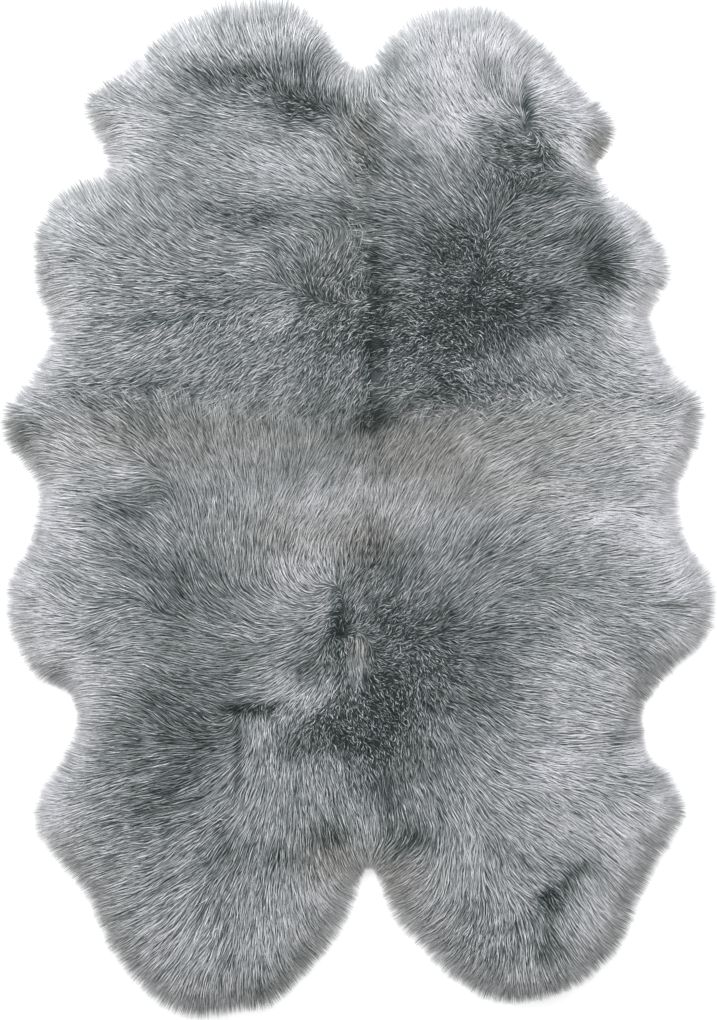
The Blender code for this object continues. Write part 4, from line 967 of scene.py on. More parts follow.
def hills(rows, x, y):
    """The sum of soft round hills, one for each row of a chart."""
    total = np.zeros(len(x))
    for hill_x, hill_y, half_width, half_height, amount in rows:
        away = ((x - hill_x) / half_width) ** 2 + ((y - hill_y) / half_height) ** 2
        total += amount * np.exp(-away)
    return total


def bands(rows, x, y):
    """The sum of soft bands along drawn lines, one for each row of a chart."""
    total = np.zeros(len(x))
    for half_width, amount, spots in rows:
        nearest = np.full(len(x), FAR_OFF)
        for (start_x, start_y), (end_x, end_y) in zip(spots, spots[1:]):
            run_x, run_y = end_x - start_x, end_y - start_y
            share = (x - start_x) * run_x + (y - start_y) * run_y
            share = np.clip(share / (run_x**2 + run_y**2), 0, 1)
            away = np.hypot(x - start_x - share * run_x, y - start_y - share * run_y)
            nearest = np.minimum(nearest, away)
        total += amount * np.exp(-((nearest / half_width) ** 2))
    return total


def clouds(x, y, size, layer):
    """Smooth noise from about -1 to 1 whose lumps are this size."""
    spots = zip(x / size, y / size)
    return np.array([noise.noise((across, up, layer)) for across, up in spots])


def ragged(x, y, amount, size, layers):
    """Points of the rug, each moved by smooth noise."""
    moved_x = x + amount * clouds(x, y, size, layers[0])
    moved_y = y + amount * clouds(x, y, size, layers[1])
    return moved_x, moved_y


def charted(rows, x, y):
    """The heading at points of the rug, blended between these rows of the chart."""
    rows = np.array(rows)
    apart = (x[:, None] - rows[:, 0]) ** 2 + (y[:, None] - rows[:, 1]) ** 2
    weight = 1 / (apart + NAP_BLEND**2) ** 2
    turn = np.radians(rows[:, 2])
    return np.arctan2(weight @ np.sin(turn), weight @ np.cos(turn))


def mixed(first, second, share):
    """Headings turned from the first towards the second by a share from 0 to 1."""
    ahead = np.cos(first) * (1 - share) + np.cos(second) * share
    aside = np.sin(first) * (1 - share) + np.sin(second) * share
    return np.arctan2(aside, ahead)


def near_rim(x, y, depth):
    """1 at the rim, falling away over this depth."""
    return np.exp(-np.maximum(read(land.from_rim, x, y), 0) / depth)


def combed(pelt):
    """The rule for the heading of one pelt's wool: its nap, in waves, and turned
    towards the floor at the rim."""

    def heading_at(x, y):
        heading = charted(NAP[pelt], x, y)
        free = 1 - near_rim(x, y, RIM_EVEN)
        rough = np.maximum(-hills(SLEEK, x, y), 0)
        crimped = read(land.curly, x, y) + ROUGH_TURN * rough
        for layer, (size, turn, curly_turn) in enumerate(WAVES):
            most = turn + curly_turn * crimped
            heading = heading + most * free * clouds(x, y, size, WAVE_LAYER + layer)
        outward = np.arctan2(read(land.out_y, x, y), read(land.out_x, x, y))
        return mixed(heading, outward, RIM_TURN_MOST * near_rim(x, y, RIM_TURN))

    return heading_at


def wool_shade(x, y):
    """How pale the wool is at points of the rug, before its locks differ: its tone, with
    painted light and shade from the charts and the rim, and noise.
    """
    ragged_x, ragged_y = ragged(x, y, LINE_RAGGED, LINE_RAGGED_SIZE, LINE_LAYERS)
    shade = SHADE_BASE + hills(TONE_AND_PAINTED_LIGHT, x, y) + bands(PAINTED_CREASE_AND_CREST_LIGHT, ragged_x, ragged_y)
    out_x, out_y = read(land.out_x, x, y), read(land.out_y, x, y)
    # Painted light at the rim: paler where it faces the light, darker on the far side
    lit_side = LIT_FROM[0] * out_x + LIT_FROM[1] * out_y
    shade += RIM_PAINTED_LIT_SIDE * near_rim(x, y, SHADE_RIM_DEPTH) * lit_side
    # Painted light: the rim paler all round, most on its upper side, which faces the light
    painted_light_share = RIM_PAINTED_LIGHT_ALL + RIM_PAINTED_LIGHT_UPPER * out_y
    shade += RIM_PAINTED_LIGHT * near_rim(x, y, RIM_PAINTED_LIGHT_DEPTH) * painted_light_share
    for layer, (size, amount) in enumerate(SHADE_CLOUDS):
        shade += amount * clouds(x, y, size, CLOUD_LAYER + layer)
    tufts = clouds(x, y, CURL_TUFT_SIZE, TUFT_LAYER)
    return shade + CURL_TUFT_SHADE * read(land.curly, x, y) * tufts


def wool_warmth(x, y):
    """How warm a grey the wool is, from 0 to 1."""
    lower = np.clip(RIM_WARM_BELOW - read(land.out_y, x, y), 0, 1)
    warm = hills(WARMTH, x, y) + RIM_WARMTH * near_rim(x, y, SHADE_RIM_DEPTH) * lower
    return np.clip(warm, 0, 1)


def over_map(rule):
    """A grid of the rule's values, one for each cell of the map."""
    return np.array([rule(land.xs, np.full(len(land.xs), y)) for y in land.ys])


def streaked(nap, cell, steps):
    """Fine even noise drawn out into streaks along the nap, with a spread of 1. The
    streaks are about three cells apart."""
    xs = np.arange(land.xs[0], land.xs[-1], cell)
    ys = np.arange(land.ys[0], land.ys[-1], cell)
    grain = np.random.default_rng((SEED, steps)).normal(0, 1, (len(ys), len(xs)))
    grain = grain - blurred(grain, GRAIN_BLUR)
    x, y = (side.ravel() for side in np.meshgrid(xs, ys))
    total = read(grain, x, y)
    for way in (1, -1):
        spot_x, spot_y = x, y
        for _ in range(steps):
            ahead_x, ahead_y = (read(grid, spot_x, spot_y) for grid in nap)
            spot_x = spot_x + way * cell * ahead_x
            spot_y = spot_y + way * cell * ahead_y
            total = total + read(grain, spot_x, spot_y)
    return (total / total.std()).reshape(grain.shape)


def chart_wool():
    """Adds to the map which way the wool lies, its shades, its curls and its streaks."""
    land.curly = over_map(lambda x, y: np.clip(hills(CURLS, x, y), 0, 1))
    land.nap = {}
    for pelt in PELTS:
        heading = over_map(combed(pelt))
        land.nap[pelt] = np.cos(heading), np.sin(heading)
    nap = tuple(
        np.choose(np.maximum(land.owners, 0), [land.nap[pelt][axis] for pelt in PELTS])
        for axis in (0, 1)
    )
    land.sleek = over_map(lambda x, y: np.clip(hills(SLEEK, x, y), SLEEK_LEAST, 1))
    land.warmth = over_map(wool_warmth)
    land.shade = over_map(wool_shade)
    land.streaks = [
        (straight, curled, streaked(nap, cell, steps))
        for cell, steps, straight, curled in STREAKS
    ]
    land.gaps = np.maximum(-streaked(nap, GAP_CELL, GAP_STEPS) - GAP_FROM, 0)


def scatter(pitch, box, rng):
    """Uneven rows of points over a box, each point moved a little from its place."""
    low_x, low_y, high_x, high_y = box
    row_step = pitch * math.sqrt(3) / 2
    y, x = np.mgrid[low_y:high_y:row_step, low_x:high_x:pitch]
    x = x + (np.arange(len(x)) % 2)[:, None] * pitch / 2
    x = x.ravel() + rng.uniform(-SCATTER, SCATTER, x.size) * pitch
    y = y.ravel() + rng.uniform(-SCATTER, SCATTER, y.size) * pitch
    return x, y


def pelt_box(pelt):
    """The box of one pelt on the floor: lowest x, lowest y, highest x, highest y."""
    low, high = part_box("pelt_" + pelt)
    return low.x, low.y, high.x, high.y


def grows_from(pelt, x, y, rng):
    """True where wool of this pelt starts: its edge at a seam is uneven."""
    seam_x, seam_y = ragged(x, y, SEAM_RAGGED, SEAM_RAGGED_SIZE, SEAM_LAYERS)
    seam_x += rng.normal(0, SEAM_FUZZ, len(x))
    seam_y += rng.normal(0, SEAM_FUZZ, len(x))
    seam_x, seam_y = np.where(
        read(land.from_seam, x, y) < SEAM_REACH, (seam_x, seam_y), (x, y)
    )
    return owner_at(seam_x, seam_y) == PELTS.index(pelt)


def lay_locks(pelt, rng):
    """The locks of one pelt: where each starts, how it turns and bends, and its reach."""
    x, y = scatter(LOCK_PITCH, pelt_box(pelt), rng)
    own = grows_from(pelt, x, y, rng)
    x, y = x[own], y[own]
    count = len(x)
    curly = read(land.curly, x, y)
    turn = rng.normal(0, 1, count) * (LOCK_STRAY + CURL_STRAY * curly**2)
    uneven = np.clip(rng.normal(1, LOCK_UNEVEN, count), *LOCK_UNEVEN_RANGE)
    reach = LOCK_REACH * uneven * (1 - (1 - CURL_REACH) * np.sqrt(curly))
    bend = rng.normal(0, 1, count) * BEND
    shade = rng.normal(0, 1, count) * SHADE_LOCK
    return SimpleNamespace(x=x, y=y, turn=turn, reach=reach, bend=bend, shade=shade)


def nearest_locks(locks, x, y):
    """The number of the lock that each strand belongs to."""
    tree = kdtree.KDTree(len(locks.x))
    for number, spot in enumerate(zip(locks.x, locks.y)):
        tree.insert((*spot, 0), number)
    tree.balance()
    return np.array([tree.find((*spot, 0))[1] for spot in zip(x, y)])


def run_along(pelt, x, y, turn, bend, length):
    """The spots at each station of wool that starts here and follows the nap, turned
    from it and bent."""
    spots = [(x, y)]
    for near, far in zip(STATIONS, STATIONS[1:]):
        for share in (near, (near + far) / 2):
            heading = nap_at(pelt, x, y) + turn + bend * (share - START_BACK)
            x = x + np.cos(heading) * length * (far - near) / 2
            y = y + np.sin(heading) * length * (far - near) / 2
        spots.append((x, y))
    return spots


def nap_at(pelt, x, y):
    """The heading of one pelt's wool at points of the rug."""
    ahead_x, ahead_y = (read(grid, x, y) for grid in land.nap[pelt])
    return np.arctan2(ahead_y, ahead_x)


def laid(pelt, x, y, turn, bend, reach, rng):
    """The spots of wool that starts behind a point and passes over it, shortened until
    its tip ends where the rim's fringe does."""
    overhang = RIM_OVERHANG + RIM_OVERHANG_MORE * rng.random(len(x)) ** 2
    overhang += hills(RIM_FULLER, x, y)
    for share in (START_BACK, START_BACK / 2):
        heading = nap_at(pelt, x, y) + turn + bend * (share - START_BACK)
        x = x - np.cos(heading) * reach * START_BACK / 2
        y = y - np.sin(heading) * reach * START_BACK / 2
    length = reach
    for _ in range(RIM_TRIMS):
        spots = run_along(pelt, x, y, turn, bend, length)
        past = -read(land.from_rim, *spots[-1]) - overhang
        length = np.clip(length - np.maximum(past, 0), TRIM_LEAST * reach, reach)
    return run_along(pelt, x, y, turn, bend, length)


def rooted(pelt, low_y, high_y, rng):
    """The points that one piece's strands pass over, thinned where long wool covers."""
    x, y = scatter(STRAND_PITCH, pelt_box(pelt), rng)
    own = grows_from(pelt, x, y, rng)
    own &= (y >= low_y) & (y < high_y) & (read(land.from_rim, x, y) > RIM_SKIP)
    dense = np.maximum(read(land.curly, x, y), near_rim(x, y, RIM_CALM))
    own &= rng.random(len(x)) < LONG_SHARE + (1 - LONG_SHARE) * dense
    return x[own], y[own]


def trace(pelt, locks, lock, x, y, rng):
    """The middle of each strand at its stations, level: along its own path, and drawn
    in towards its lock's."""
    count = len(x)
    curly = read(land.curly, x, y)
    stray = np.where(rng.random(count) < LOOSE_SHARE, LOOSE_STRAY, STRAND_STRAY)
    at_rim = near_rim(x, y, RIM_CALM)
    turn = locks.turn[lock] + rng.normal(0, 1, count) * (stray + CURL_STRAY * curly)
    bend = locks.bend[lock] + rng.normal(0, 1, count) * (BEND + CURL_BEND * curly)
    turn, bend = turn * (1 - at_rim), bend * (1 - at_rim)
    fuller = np.maximum(hills(RIM_FULLER, x, y), 0)
    reach_at_rim = LOCK_REACH * (1 + RIM_LONGER) + fuller
    reach = locks.reach[lock] * (1 - at_rim) + reach_at_rim * at_rim
    least, most = REACH_RANGE
    reach = reach * rng.uniform(least + RIM_REACH_MORE * at_rim, most, count)
    own_path = laid(pelt, x, y, turn, bend, reach, rng)
    lock_path = laid(pelt, locks.x, locks.y, locks.turn, locks.bend, locks.reach, rng)
    tightness = GATHER * (1 - RIM_GATHER * near_rim(x, y, RIM_TURN))
    middles = np.empty((count, len(STATIONS), 3))
    for station, share in enumerate(STATIONS):
        gather = tightness * share**GATHER_POWER
        for axis in (0, 1):
            loose = own_path[station][axis]
            tight = lock_path[station][axis][lock]
            middles[:, station, axis] = loose * (1 - gather) + tight * gather
    return middles


def grow(pelt, locks, low_y, high_y, rng):
    """The strands of one piece: the middle of each at its stations, its width there
    against the usual, its shade and its warmth."""
    x, y = rooted(pelt, low_y, high_y, rng)
    count = len(x)
    lock = nearest_locks(locks, x, y)
    middles = trace(pelt, locks, lock, x, y, rng)
    curly, sleek = read(land.curly, x, y), read(land.sleek, x, y)
    calm = (1 - SLEEK_CALM * sleek) * (1 - RIM_SLEEK * near_rim(x, y, RIM_TURN))
    even = 1 - SLEEK_EVEN * sleek
    rank = rng.normal(0, 1, count)
    lift_own = rank * (RANK * calm + CURL_RANK * curly)
    floor_height = FLOOR_LEAST + FLOOR_SPRAY * rng.random(count) ** 2
    own_shade = rng.uniform(-SHADE_SPREAD, SHADE_SPREAD, count)
    own_shade *= SHADE_STRAND * even + CURL_TONE_AND_PAINTED_SHADE * curly
    own_shade += locks.shade[lock]
    # Painted shade: strands that lie higher are paler, deeper ones darker
    own_shade += rank * (RANK_PAINTED_SHADE * even + CURL_TONE_AND_PAINTED_SHADE * curly)
    shade = np.empty((count, len(STATIONS)))
    warmth = np.empty((count, len(STATIONS)))
    for station, lift in enumerate(STATION_LIFTS):
        spot = middles[:, station, 0], middles[:, station, 1]
        ground = read(land.heights, *spot)
        streak = sum(
            (straight * (1 - curly) + curled * curly) * read(grid, *spot)
            for straight, curled, grid in land.streaks
        )
        gap = calm * read(land.gaps, *spot)
        if lift is None:
            height = np.maximum(ground * ROOT_DEPTH, ROOT_LEAST)
        else:
            height = ground + lift + lift_own + TUFT_RISE * streak * calm
            height = np.maximum(height - GAP_DEPTH * gap, floor_height)
        middles[:, station, 2] = height
        tone = read(land.shade, *spot) + streak * calm + own_shade
        # Painted shade darkens the gaps between the locks
        shade[:, station] = tone - GAP_PAINTED_SHADE * gap
        warmth[:, station] = read(land.warmth, *spot)
    width = rng.uniform(*WIDTH_RANGE, count) * (1 - CURL_FINE * curly)
    width = width * (1 - SLEEK_FINE * np.maximum(sleek, 0))
    width = width * (1 - RIM_FINE * near_rim(x, y, RIM_CALM))
    return middles, width, np.clip(shade, *SHADE_RANGE), warmth


def side_steps(middles, width, rng):
    """Half a strand's width at each station but the tip, level but for a little roll."""
    roll = rng.normal(0, 1, len(middles)) * ROLL
    steps = []
    for station, share in enumerate(STATION_WIDTHS):
        ahead = middles[:, station + 1] - middles[:, max(station - 1, 0)]
        along = np.hypot(ahead[:, 0], ahead[:, 1]) + TINY
        half = STRAND_WIDTH * width * share / 2
        aside_x = -ahead[:, 1] / along * half * np.cos(roll)
        aside_y = ahead[:, 0] / along * half * np.cos(roll)
        steps.append(np.stack((aside_x, aside_y, half * np.sin(roll)), axis=1))
    return steps


# A strand's corners, two at each station and one at the tip, and its faces
STRAND_FACES = ((0, 1, 3, 2), (2, 3, 5, 4), (4, 5, 6))
CORNERS = 7


def strand_mesh(name, middles, width, shade, warmth, rng):
    """All the strands of a piece as one mesh, with their shade (tone and painted light),
    warmth and two flat maps.
    """
    count = len(middles)
    corners = np.empty((count, CORNERS, 3))
    for station, step in enumerate(side_steps(middles, width, rng)):
        corners[:, 2 * station] = middles[:, station] + step
        corners[:, 2 * station + 1] = middles[:, station] - step
    corners[:, -1] = middles[:, -1]
    corners[:, :, 2] = np.maximum(corners[:, :, 2], FLOOR_LEAST / 2)
    loops = np.concatenate(STRAND_FACES)
    sizes = np.array([len(face) for face in STRAND_FACES])
    starts = np.cumsum(sizes) - sizes
    first_corner = np.arange(count)[:, None] * CORNERS
    first_loop = np.arange(count)[:, None] * len(loops)

    mesh = bpy.data.meshes.new(name)
    mesh.vertices.add(count * CORNERS)
    mesh.vertices.foreach_set("co", corners.ravel())
    mesh.loops.add(count * len(loops))
    mesh.loops.foreach_set("vertex_index", (first_corner + loops).ravel())
    mesh.polygons.add(count * len(STRAND_FACES))
    mesh.polygons.foreach_set("loop_start", (first_loop + starts).ravel())
    mesh.update(calc_edges=True)
    mesh.shade_smooth()

    for label, amounts in (("shade", shade), ("warmth", warmth)):
        tone = mesh.attributes.new(label, "FLOAT", "POINT")
        at_corners = np.repeat(amounts, 2, axis=1)[:, :CORNERS]
        tone.data.foreach_set("value", at_corners.ravel())
    add_flat_maps(mesh, count, loops)
    return mesh


def add_flat_maps(mesh, count, loops):
    """A map in which every strand fills the square, for its fibres, and one in which
    each has a cell of its own, for baking."""
    sides = np.tile((0.0, 1.0), len(STATIONS))[:CORNERS]
    sides[-1] = 0.5
    across = sides[loops]
    along = np.repeat(STATIONS, 2)[:CORNERS][loops]
    flat = np.tile(np.stack((across, along), axis=1), (count, 1))
    mesh.uv_layers.new(name="strand").data.foreach_set("uv", flat.ravel())
    columns = math.ceil(math.sqrt(count * BAKE_TALLNESS))
    rows = math.ceil(count / columns)
    place = np.arange(count)
    side_gap, end_gap = BAKE_GAP
    left = (place % columns)[:, None] + side_gap + (1 - 2 * side_gap) * across
    foot = (place // columns)[:, None] + end_gap + (1 - 2 * end_gap) * along
    packed = np.stack((left / columns, foot / rows), axis=2)
    mesh.uv_layers.new(name="OFBake").data.foreach_set("uv", packed.ravel())


# ---- Underwool and hides


def trimmed_sheet(pelt, cell, rim_inset):
    """A flat grid in the shape of one pelt, held in from its rim and its seams."""
    low_x, low_y, high_x, high_y = pelt_box(pelt)
    columns = math.ceil((high_x - low_x) / cell)
    rows = math.ceil((high_y - low_y) / cell)
    sheet = bmesh.new()
    bmesh.ops.create_grid(sheet, x_segments=columns, y_segments=rows, size=0.5)
    bmesh.ops.scale(sheet, vec=(columns * cell, rows * cell, 1), verts=sheet.verts)
    middle = Vector(((low_x + high_x) / 2, (low_y + high_y) / 2, 0))
    bmesh.ops.translate(sheet, vec=middle, verts=sheet.verts)

    own = land.owners == PELTS.index(pelt)
    past_seam = np.where(own, land.from_seam, -land.from_seam)
    room = np.minimum(land.from_rim - rim_inset, past_seam - SEAM_INSET)
    slope_y, slope_x = np.gradient(room, CELL)

    def reading(grid, vertex):
        return read(grid, np.array([vertex.co.x]), np.array([vertex.co.y]))[0]

    outside = [vertex for vertex in sheet.verts if reading(room, vertex) < 0]
    bmesh.ops.delete(sheet, geom=outside, context="VERTS")
    for _ in range(SHEET_TRIMS):
        for vertex in (v for v in sheet.verts if v.is_boundary):
            uphill = Vector((reading(slope_x, vertex), reading(slope_y, vertex), 0))
            if uphill.length > SHEET_SLOPE_LEAST:
                spare = min(reading(room, vertex), cell)
                vertex.co -= uphill.normalized() * spare
    return sheet


def set_dye_and_shade(mesh):
    """Gives each point of a mesh the shade and warmth of the wool over it."""
    x, y = np.array([vertex.co[:2] for vertex in mesh.vertices]).T
    shade = np.clip(read(land.shade, x, y), *SHADE_RANGE)
    for label, amounts in (("shade", shade), ("warmth", read(land.warmth, x, y))):
        mesh.attributes.new(label, "FLOAT", "POINT").data.foreach_set("value", amounts)


def underwool_mesh(pelt):
    """The dense short wool under the locks, as a lumpy closed body."""
    body = trimmed_sheet(pelt, UNDERWOOL_CELL, UNDERWOOL_INSET)
    for vertex in body.verts:
        vertex.co.z = UNDERWOOL_FOOT
    made = bmesh.ops.extrude_face_region(body, geom=body.faces, use_keep_orig=True)
    top = [item for item in made["geom"] if isinstance(item, bmesh.types.BMVert)]
    spots = np.array([vertex.co[:2] for vertex in top])
    heights = read(land.heights, spots[:, 0], spots[:, 1])
    for vertex, height in zip(top, heights):
        lump = noise.noise(vertex.co * LUMPS_PER_METRE) * LUMP_RISE
        lowest = UNDERWOOL_FOOT + UNDERWOOL_THIN
        vertex.co.z = max(height - UNDERWOOL_DROP + lump, lowest)
    bmesh.ops.recalc_face_normals(body, faces=body.faces)
    mesh = bpy.data.meshes.new("underwool_" + pelt)
    body.to_mesh(mesh)
    body.free()
    mesh.shade_smooth()
    set_dye_and_shade(mesh)
    return mesh


def hide_mesh(pelt):
    """The suede skin that the wool grows from, with its flat area."""
    skin = trimmed_sheet(pelt, HIDE_CELL, HIDE_INSET)
    area = sum(face.calc_area() for face in skin.faces)
    bmesh.ops.solidify(skin, geom=skin.faces, thickness=HIDE_THICK)
    lowest = min(vertex.co.z for vertex in skin.verts)
    bmesh.ops.translate(skin, vec=(0, 0, -lowest), verts=skin.verts)
    bmesh.ops.recalc_face_normals(skin, faces=skin.faces)
    mesh = bpy.data.meshes.new("hide_" + pelt)
    skin.to_mesh(mesh)
    skin.free()
    return mesh, area


# ---- Materials


def new_group(name, inputs, outputs):
    """An empty node group with these sockets, and its two end nodes."""
    group = bpy.data.node_groups.new(name, "ShaderNodeTree")
    for label, kind in inputs:
        group.interface.new_socket(label, in_out="INPUT", socket_type=kind)
    for label, kind in outputs:
        group.interface.new_socket(label, in_out="OUTPUT", socket_type=kind)
    start = group.nodes.new("NodeGroupInput")
    end = group.nodes.new("NodeGroupOutput")
    return group, start, end


def new_material(name, tree_color):
    """A material with its Principled shader, and a plain colour for solid view."""
    material = bpy.data.materials.new(name)
    material.use_nodes = True
    material.diffuse_color = (*tree_color, 1)
    shader = material.node_tree.nodes["Principled BSDF"]
    return material, material.node_tree, shader


def ramp(tree, stops):
    """A colour ramp with these places and colours."""
    node = tree.nodes.new("ShaderNodeValToRGB")
    elements = node.color_ramp.elements
    while len(elements) < len(stops):
        elements.new(0.5)
    for element, (place, color) in zip(elements, stops):
        element.position = place
        element.color = (*color, 1)
    return node


def linear(red, green, blue):
    """A colour of the photograph, 0 to 255, as light."""
    parts = (channel / 255 for channel in (red, green, blue))
    return tuple(((part + 0.055) / 1.055) ** 2.4 for part in parts)


def photo_colors(stops):
    """A ramp's places with their colours of the photograph made light."""
    return tuple((place, linear(*color)) for place, color in stops)


def maths(tree, operation, first, second):
    """A Math node of one operation on two sockets or numbers."""
    node = tree.nodes.new("ShaderNodeMath")
    node.operation = operation
    for place, value in enumerate((first, second)):
        if isinstance(value, (int, float)):
            node.inputs[place].default_value = value
        else:
            tree.links.new(value, node.inputs[place])
    return node.outputs[0]


def ranged(tree, value, low, high, end=1.0):
    """The value from 0 to its end spread smoothly from low to high."""
    node = tree.nodes.new("ShaderNodeMapRange")
    node.interpolation_type = "SMOOTHSTEP"
    node.inputs["From Max"].default_value = end
    node.inputs["To Min"].default_value = low
    node.inputs["To Max"].default_value = high
    tree.links.new(value, node.inputs["Value"])
    return node.outputs["Result"]


def dyed_and_shaded_wool_group():
    """Dyed and shaded wool: its colour from its shade, which holds painted light and shade
    besides the tone, its warmth, how far along and across the strand it is, and its fibres."""
    number, color = "NodeSocketFloat", "NodeSocketColor"
    labels = ("Shade", "Warmth", "Along", "Across", "Fibre")
    group, start, end = new_group(
        "dyed and shaded wool",
        tuple((label, number) for label in labels),
        (("Color", color), ("Roughness", number)),
    )
    shade, warmth, along, across, fibre = (start.outputs[label] for label in labels)
    # Darker towards the root: partly the frosted dye, partly painted shade deep in the pile
    share_lit = ranged(group, along, ROOT_LIT, TIP_LIT, LIT_BY)
    lit = maths(group, "MULTIPLY", shade, share_lit)
    # Painted shade: darker towards the strand's edges, as on a round lock
    off_middle = maths(group, "ABSOLUTE", maths(group, "SUBTRACT", across, 0.5), 0.0)
    squared = maths(group, "POWER", off_middle, 2.0)
    edge = maths(group, "MULTIPLY", squared, EDGE_PAINTED_SHADE)
    uneven = maths(group, "SUBTRACT", fibre, 0.5)
    fibres = maths(group, "MULTIPLY", uneven, FIBRE_SHADE)
    tone = maths(group, "ADD", maths(group, "SUBTRACT", lit, edge), fibres)
    cool = ramp(group, photo_colors(COOL_WOOL))
    warm = ramp(group, photo_colors(WARM_WOOL))
    blend = group.nodes.new("ShaderNodeMix")
    blend.data_type = "RGBA"
    for dye_and_shade in (cool, warm):
        group.links.new(tone, dye_and_shade.inputs["Fac"])
    group.links.new(warmth, blend.inputs["Factor"])
    group.links.new(cool.outputs["Color"], blend.inputs["A"])
    group.links.new(warm.outputs["Color"], blend.inputs["B"])
    group.links.new(blend.outputs["Result"], end.inputs["Color"])
    rough = ranged(group, tone, *WOOL_ROUGHNESS)
    group.links.new(rough, end.inputs["Roughness"])
    return group


def fibre_noise(tree, coordinates, detail):
    """Noise on these coordinates, with one lump to each of their units."""
    node = tree.nodes.new("ShaderNodeTexNoise")
    node.inputs["Scale"].default_value = 1.0
    node.inputs["Detail"].default_value = detail
    tree.links.new(coordinates, node.inputs["Vector"])
    return node.outputs["Fac"]


def scaled(tree, vector, scale):
    """The vector multiplied by this scale."""
    node = tree.nodes.new("ShaderNodeVectorMath")
    node.operation = "MULTIPLY"
    node.inputs[1].default_value = scale
    tree.links.new(vector, node.inputs[0])
    return node.outputs[0]


def added(tree, first, second):
    """Two vectors added together."""
    node = tree.nodes.new("ShaderNodeVectorMath")
    node.operation = "ADD"
    tree.links.new(first, node.inputs[0])
    tree.links.new(second, node.inputs[1])
    return node.outputs[0]


def scaled_spot(tree, scale):
    """The place on the rug, from Object coordinates, with so many units to the metre."""
    spot = tree.nodes.new("ShaderNodeTexCoord").outputs["Object"]
    return scaled(tree, spot, (scale, scale, scale))


def add_bump(tree, shader, height, strength, depth):
    """Gives a shader the relief of this height."""
    bump = tree.nodes.new("ShaderNodeBump")
    bump.inputs["Strength"].default_value = strength
    bump.inputs["Distance"].default_value = depth
    tree.links.new(height, bump.inputs["Height"])
    tree.links.new(bump.outputs["Normal"], shader.inputs["Normal"])


def dye_and_shade(tree, shader, group, fibre, along, across):
    """Colours a wool shader, tone and painted light, through the dyed and shaded wool group.
    """
    wool = tree.nodes.new("ShaderNodeGroup")
    wool.node_tree = group
    for label in ("shade", "warmth"):
        amount = tree.nodes.new("ShaderNodeAttribute")
        amount.attribute_name = label
        tree.links.new(amount.outputs["Fac"], wool.inputs[label.title()])
    for label, value in (("Along", along), ("Across", across), ("Fibre", fibre)):
        if isinstance(value, float):
            wool.inputs[label].default_value = value
        else:
            tree.links.new(value, wool.inputs[label])
    tree.links.new(wool.outputs["Color"], shader.inputs["Base Color"])
    tree.links.new(wool.outputs["Roughness"], shader.inputs["Roughness"])


def long_wool(group):
    """The locks' wool: fine fibres run along each strand, darker at its root, partly by
    painted shade.
    """
    material, tree, shader = new_material("long wool", linear(*WOOL_PLAIN))
    flat_map = tree.nodes.new("ShaderNodeUVMap")
    flat_map.uv_map = "strand"
    place = tree.nodes.new("ShaderNodeSeparateXYZ")
    tree.links.new(flat_map.outputs["UV"], place.inputs["Vector"])
    stretched = scaled(tree, flat_map.outputs["UV"], FIBRE_STRETCH)
    spread = scaled_spot(tree, FIBRE_CHANGE)
    fibre = fibre_noise(tree, added(tree, stretched, spread), detail=2.0)
    dye_and_shade(tree, shader, group, fibre, place.outputs["Y"], place.outputs["X"])
    add_bump(tree, shader, fibre, strength=0.35, depth=0.0006)
    shader.inputs["Specular IOR Level"].default_value = 0.38
    shader.inputs["Sheen Weight"].default_value = 0.12
    shader.inputs["Sheen Roughness"].default_value = 0.45
    return material


def short_wool(group):
    """The underwool: dense, dark and matt, with a tangled grain; dark as at the strands'
    roots, partly dye and partly painted shade deep in the pile.
    """
    material, tree, shader = new_material("short wool", linear(*UNDERWOOL_PLAIN))
    grain = fibre_noise(tree, scaled_spot(tree, TANGLE_FINENESS), detail=6.0)
    # Coloured as near a root: partly dye, partly painted shade deep in the pile
    dye_and_shade(tree, shader, group, grain, along=0.10, across=0.5)
    add_bump(tree, shader, grain, strength=0.8, depth=0.004)
    shader.inputs["Specular IOR Level"].default_value = 0.2
    return material


def suede():
    """The hide's fleshy side: pale grey suede with a soft nap and faint mottling."""
    material, tree, shader = new_material("suede", linear(*SUEDE_PLAIN))
    mottle = fibre_noise(tree, scaled_spot(tree, MOTTLE_FINENESS), detail=5.0)
    nap = fibre_noise(tree, scaled_spot(tree, SUEDE_FINENESS), detail=3.0)
    coarse = maths(tree, "MULTIPLY", mottle, MOTTLE_SHARE)
    fine = maths(tree, "MULTIPLY", nap, 1 - MOTTLE_SHARE)
    blend = maths(tree, "ADD", coarse, fine)
    tan = ramp(tree, photo_colors(SUEDE))
    tree.links.new(blend, tan.inputs["Fac"])
    tree.links.new(tan.outputs["Color"], shader.inputs["Base Color"])
    rough = ranged(tree, nap, *SUEDE_ROUGHNESS)
    tree.links.new(rough, shader.inputs["Roughness"])
    add_bump(tree, shader, nap, strength=0.4, depth=0.0008)
    shader.inputs["Specular IOR Level"].default_value = 0.25
    return material


def painted_floor():
    """The studio floor: plain, pale and matt, with the faintest mottling."""
    material, tree, shader = new_material("studio floor", FLOOR_PLAIN)
    cloud = fibre_noise(tree, scaled_spot(tree, FLOOR_FINENESS), detail=2.0)
    paint = ramp(tree, FLOOR_PAINT)
    tree.links.new(cloud, paint.inputs["Fac"])
    tree.links.new(paint.outputs["Color"], shader.inputs["Base Color"])
    shader.inputs["Roughness"].default_value = 0.9
    return material


# ---- The rug


def new_piece(mesh, material, slot, *nodes):
    """A finished piece of the rug: its material, its body and the solids it replaces."""
    mesh.materials.append(material)
    piece = bpy.data.objects.new(mesh.name, mesh)
    bpy.context.scene.collection.objects.link(piece)
    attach(piece, "root")
    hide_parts(*nodes)
    return piece


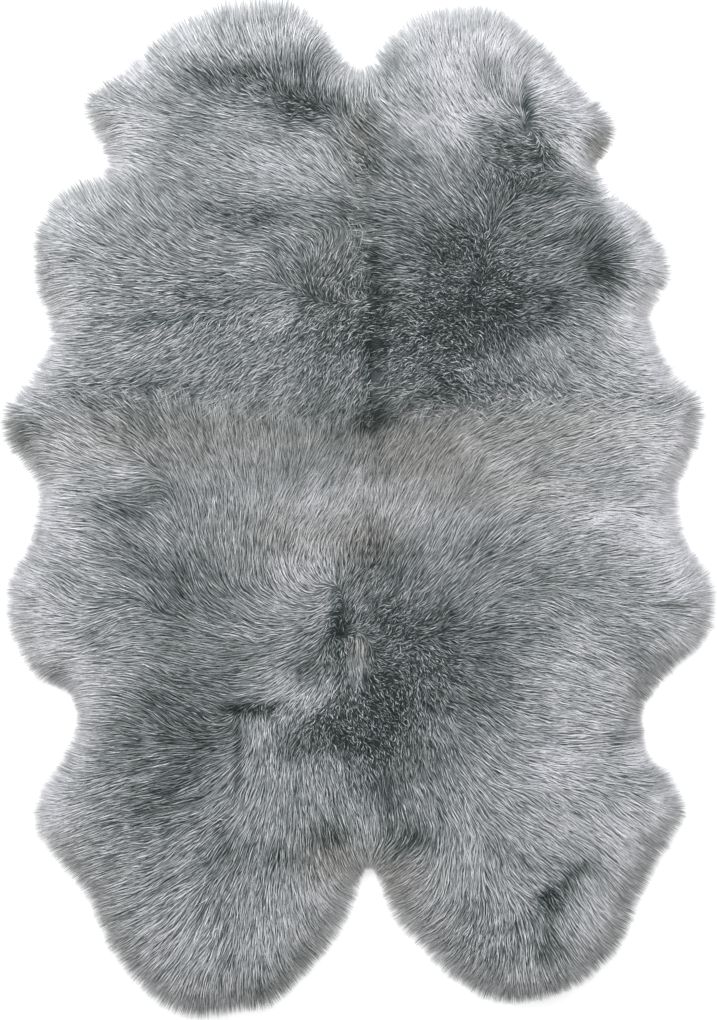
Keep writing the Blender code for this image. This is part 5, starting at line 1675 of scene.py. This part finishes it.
def make_rug():
    """Every pelt's long wool, underwool and hide."""
    group = dyed_and_shaded_wool_group()
    wool, under, skin = long_wool(group), short_wool(group), suede()
    pieces = {pelt: [] for pelt in PELTS}
    locks = {}
    for number, pelt in enumerate(PELTS):
        locks[pelt] = lay_locks(pelt, np.random.default_rng((SEED, number)))
    for number, (name, pelt, low_y, high_y) in enumerate(WOOL_PIECES):
        rng = np.random.default_rng((SEED, WOOL_SEED + number))
        strands = grow(pelt, locks[pelt], low_y, high_y, rng)
        mesh = strand_mesh(name, *strands, rng)
        pieces[pelt].append(new_piece(mesh, wool, "wool", "pelt_" + pelt))
    for pelt in PELTS:
        node = "pelt_" + pelt
        pieces[pelt].append(new_piece(underwool_mesh(pelt), under, "wool", node))
        mesh, area = hide_mesh(pelt)
        hide = new_piece(mesh, skin, "hide", node)


# ---- The studio


def make_floor():
    """A plain floor, wide enough that no edge of it shows."""
    floor = bmesh.new()
    bmesh.ops.create_grid(floor, x_segments=4, y_segments=4, size=FLOOR_SIZE / 2)
    mesh = bpy.data.meshes.new("floor")
    floor.to_mesh(mesh)
    floor.free()
    mesh.materials.append(painted_floor())
    piece = bpy.data.objects.new("floor", mesh)
    bpy.context.scene.collection.objects.link(piece)


def make_lamp(name, place, size, watts):
    """A square soft lamp that faces the rug."""
    lamp = bpy.data.lights.new(name, "AREA")
    lamp.size = size
    lamp.energy = watts
    holder = bpy.data.objects.new(name, lamp)
    holder.location = place
    aim = Vector(LAMPS_FACE) - Vector(place)
    holder.rotation_euler = aim.to_track_quat("-Z", "Y").to_euler()
    bpy.context.scene.collection.objects.link(holder)


def make_studio():
    """The lights, a pale room and the view transform."""
    make_lamp("key", KEY_PLACE, KEY_SIZE, KEY_WATTS)
    make_lamp("overhead", OVERHEAD_PLACE, OVERHEAD_SIZE, OVERHEAD_WATTS)
    world = bpy.data.worlds.new("studio")
    world.use_nodes = True
    room = world.node_tree.nodes["Background"]
    room.inputs["Color"].default_value = ROOM_COLOR
    room.inputs["Strength"].default_value = ROOM_LIGHT
    bpy.context.scene.world = world
    bpy.context.scene.view_settings.view_transform = "Standard"


def make_camera():
    """The photograph's camera: straight above the rug."""
    camera = bpy.data.cameras.new("camera")
    camera.sensor_width = SENSOR
    camera.lens = LENS
    holder = bpy.data.objects.new("camera", camera)
    holder.location = CAMERA_PLACE
    bpy.context.scene.collection.objects.link(holder)
    bpy.context.scene.camera = holder


make_camera()
land = survey()
chart_wool()
make_rug()
make_floor()
make_studio()
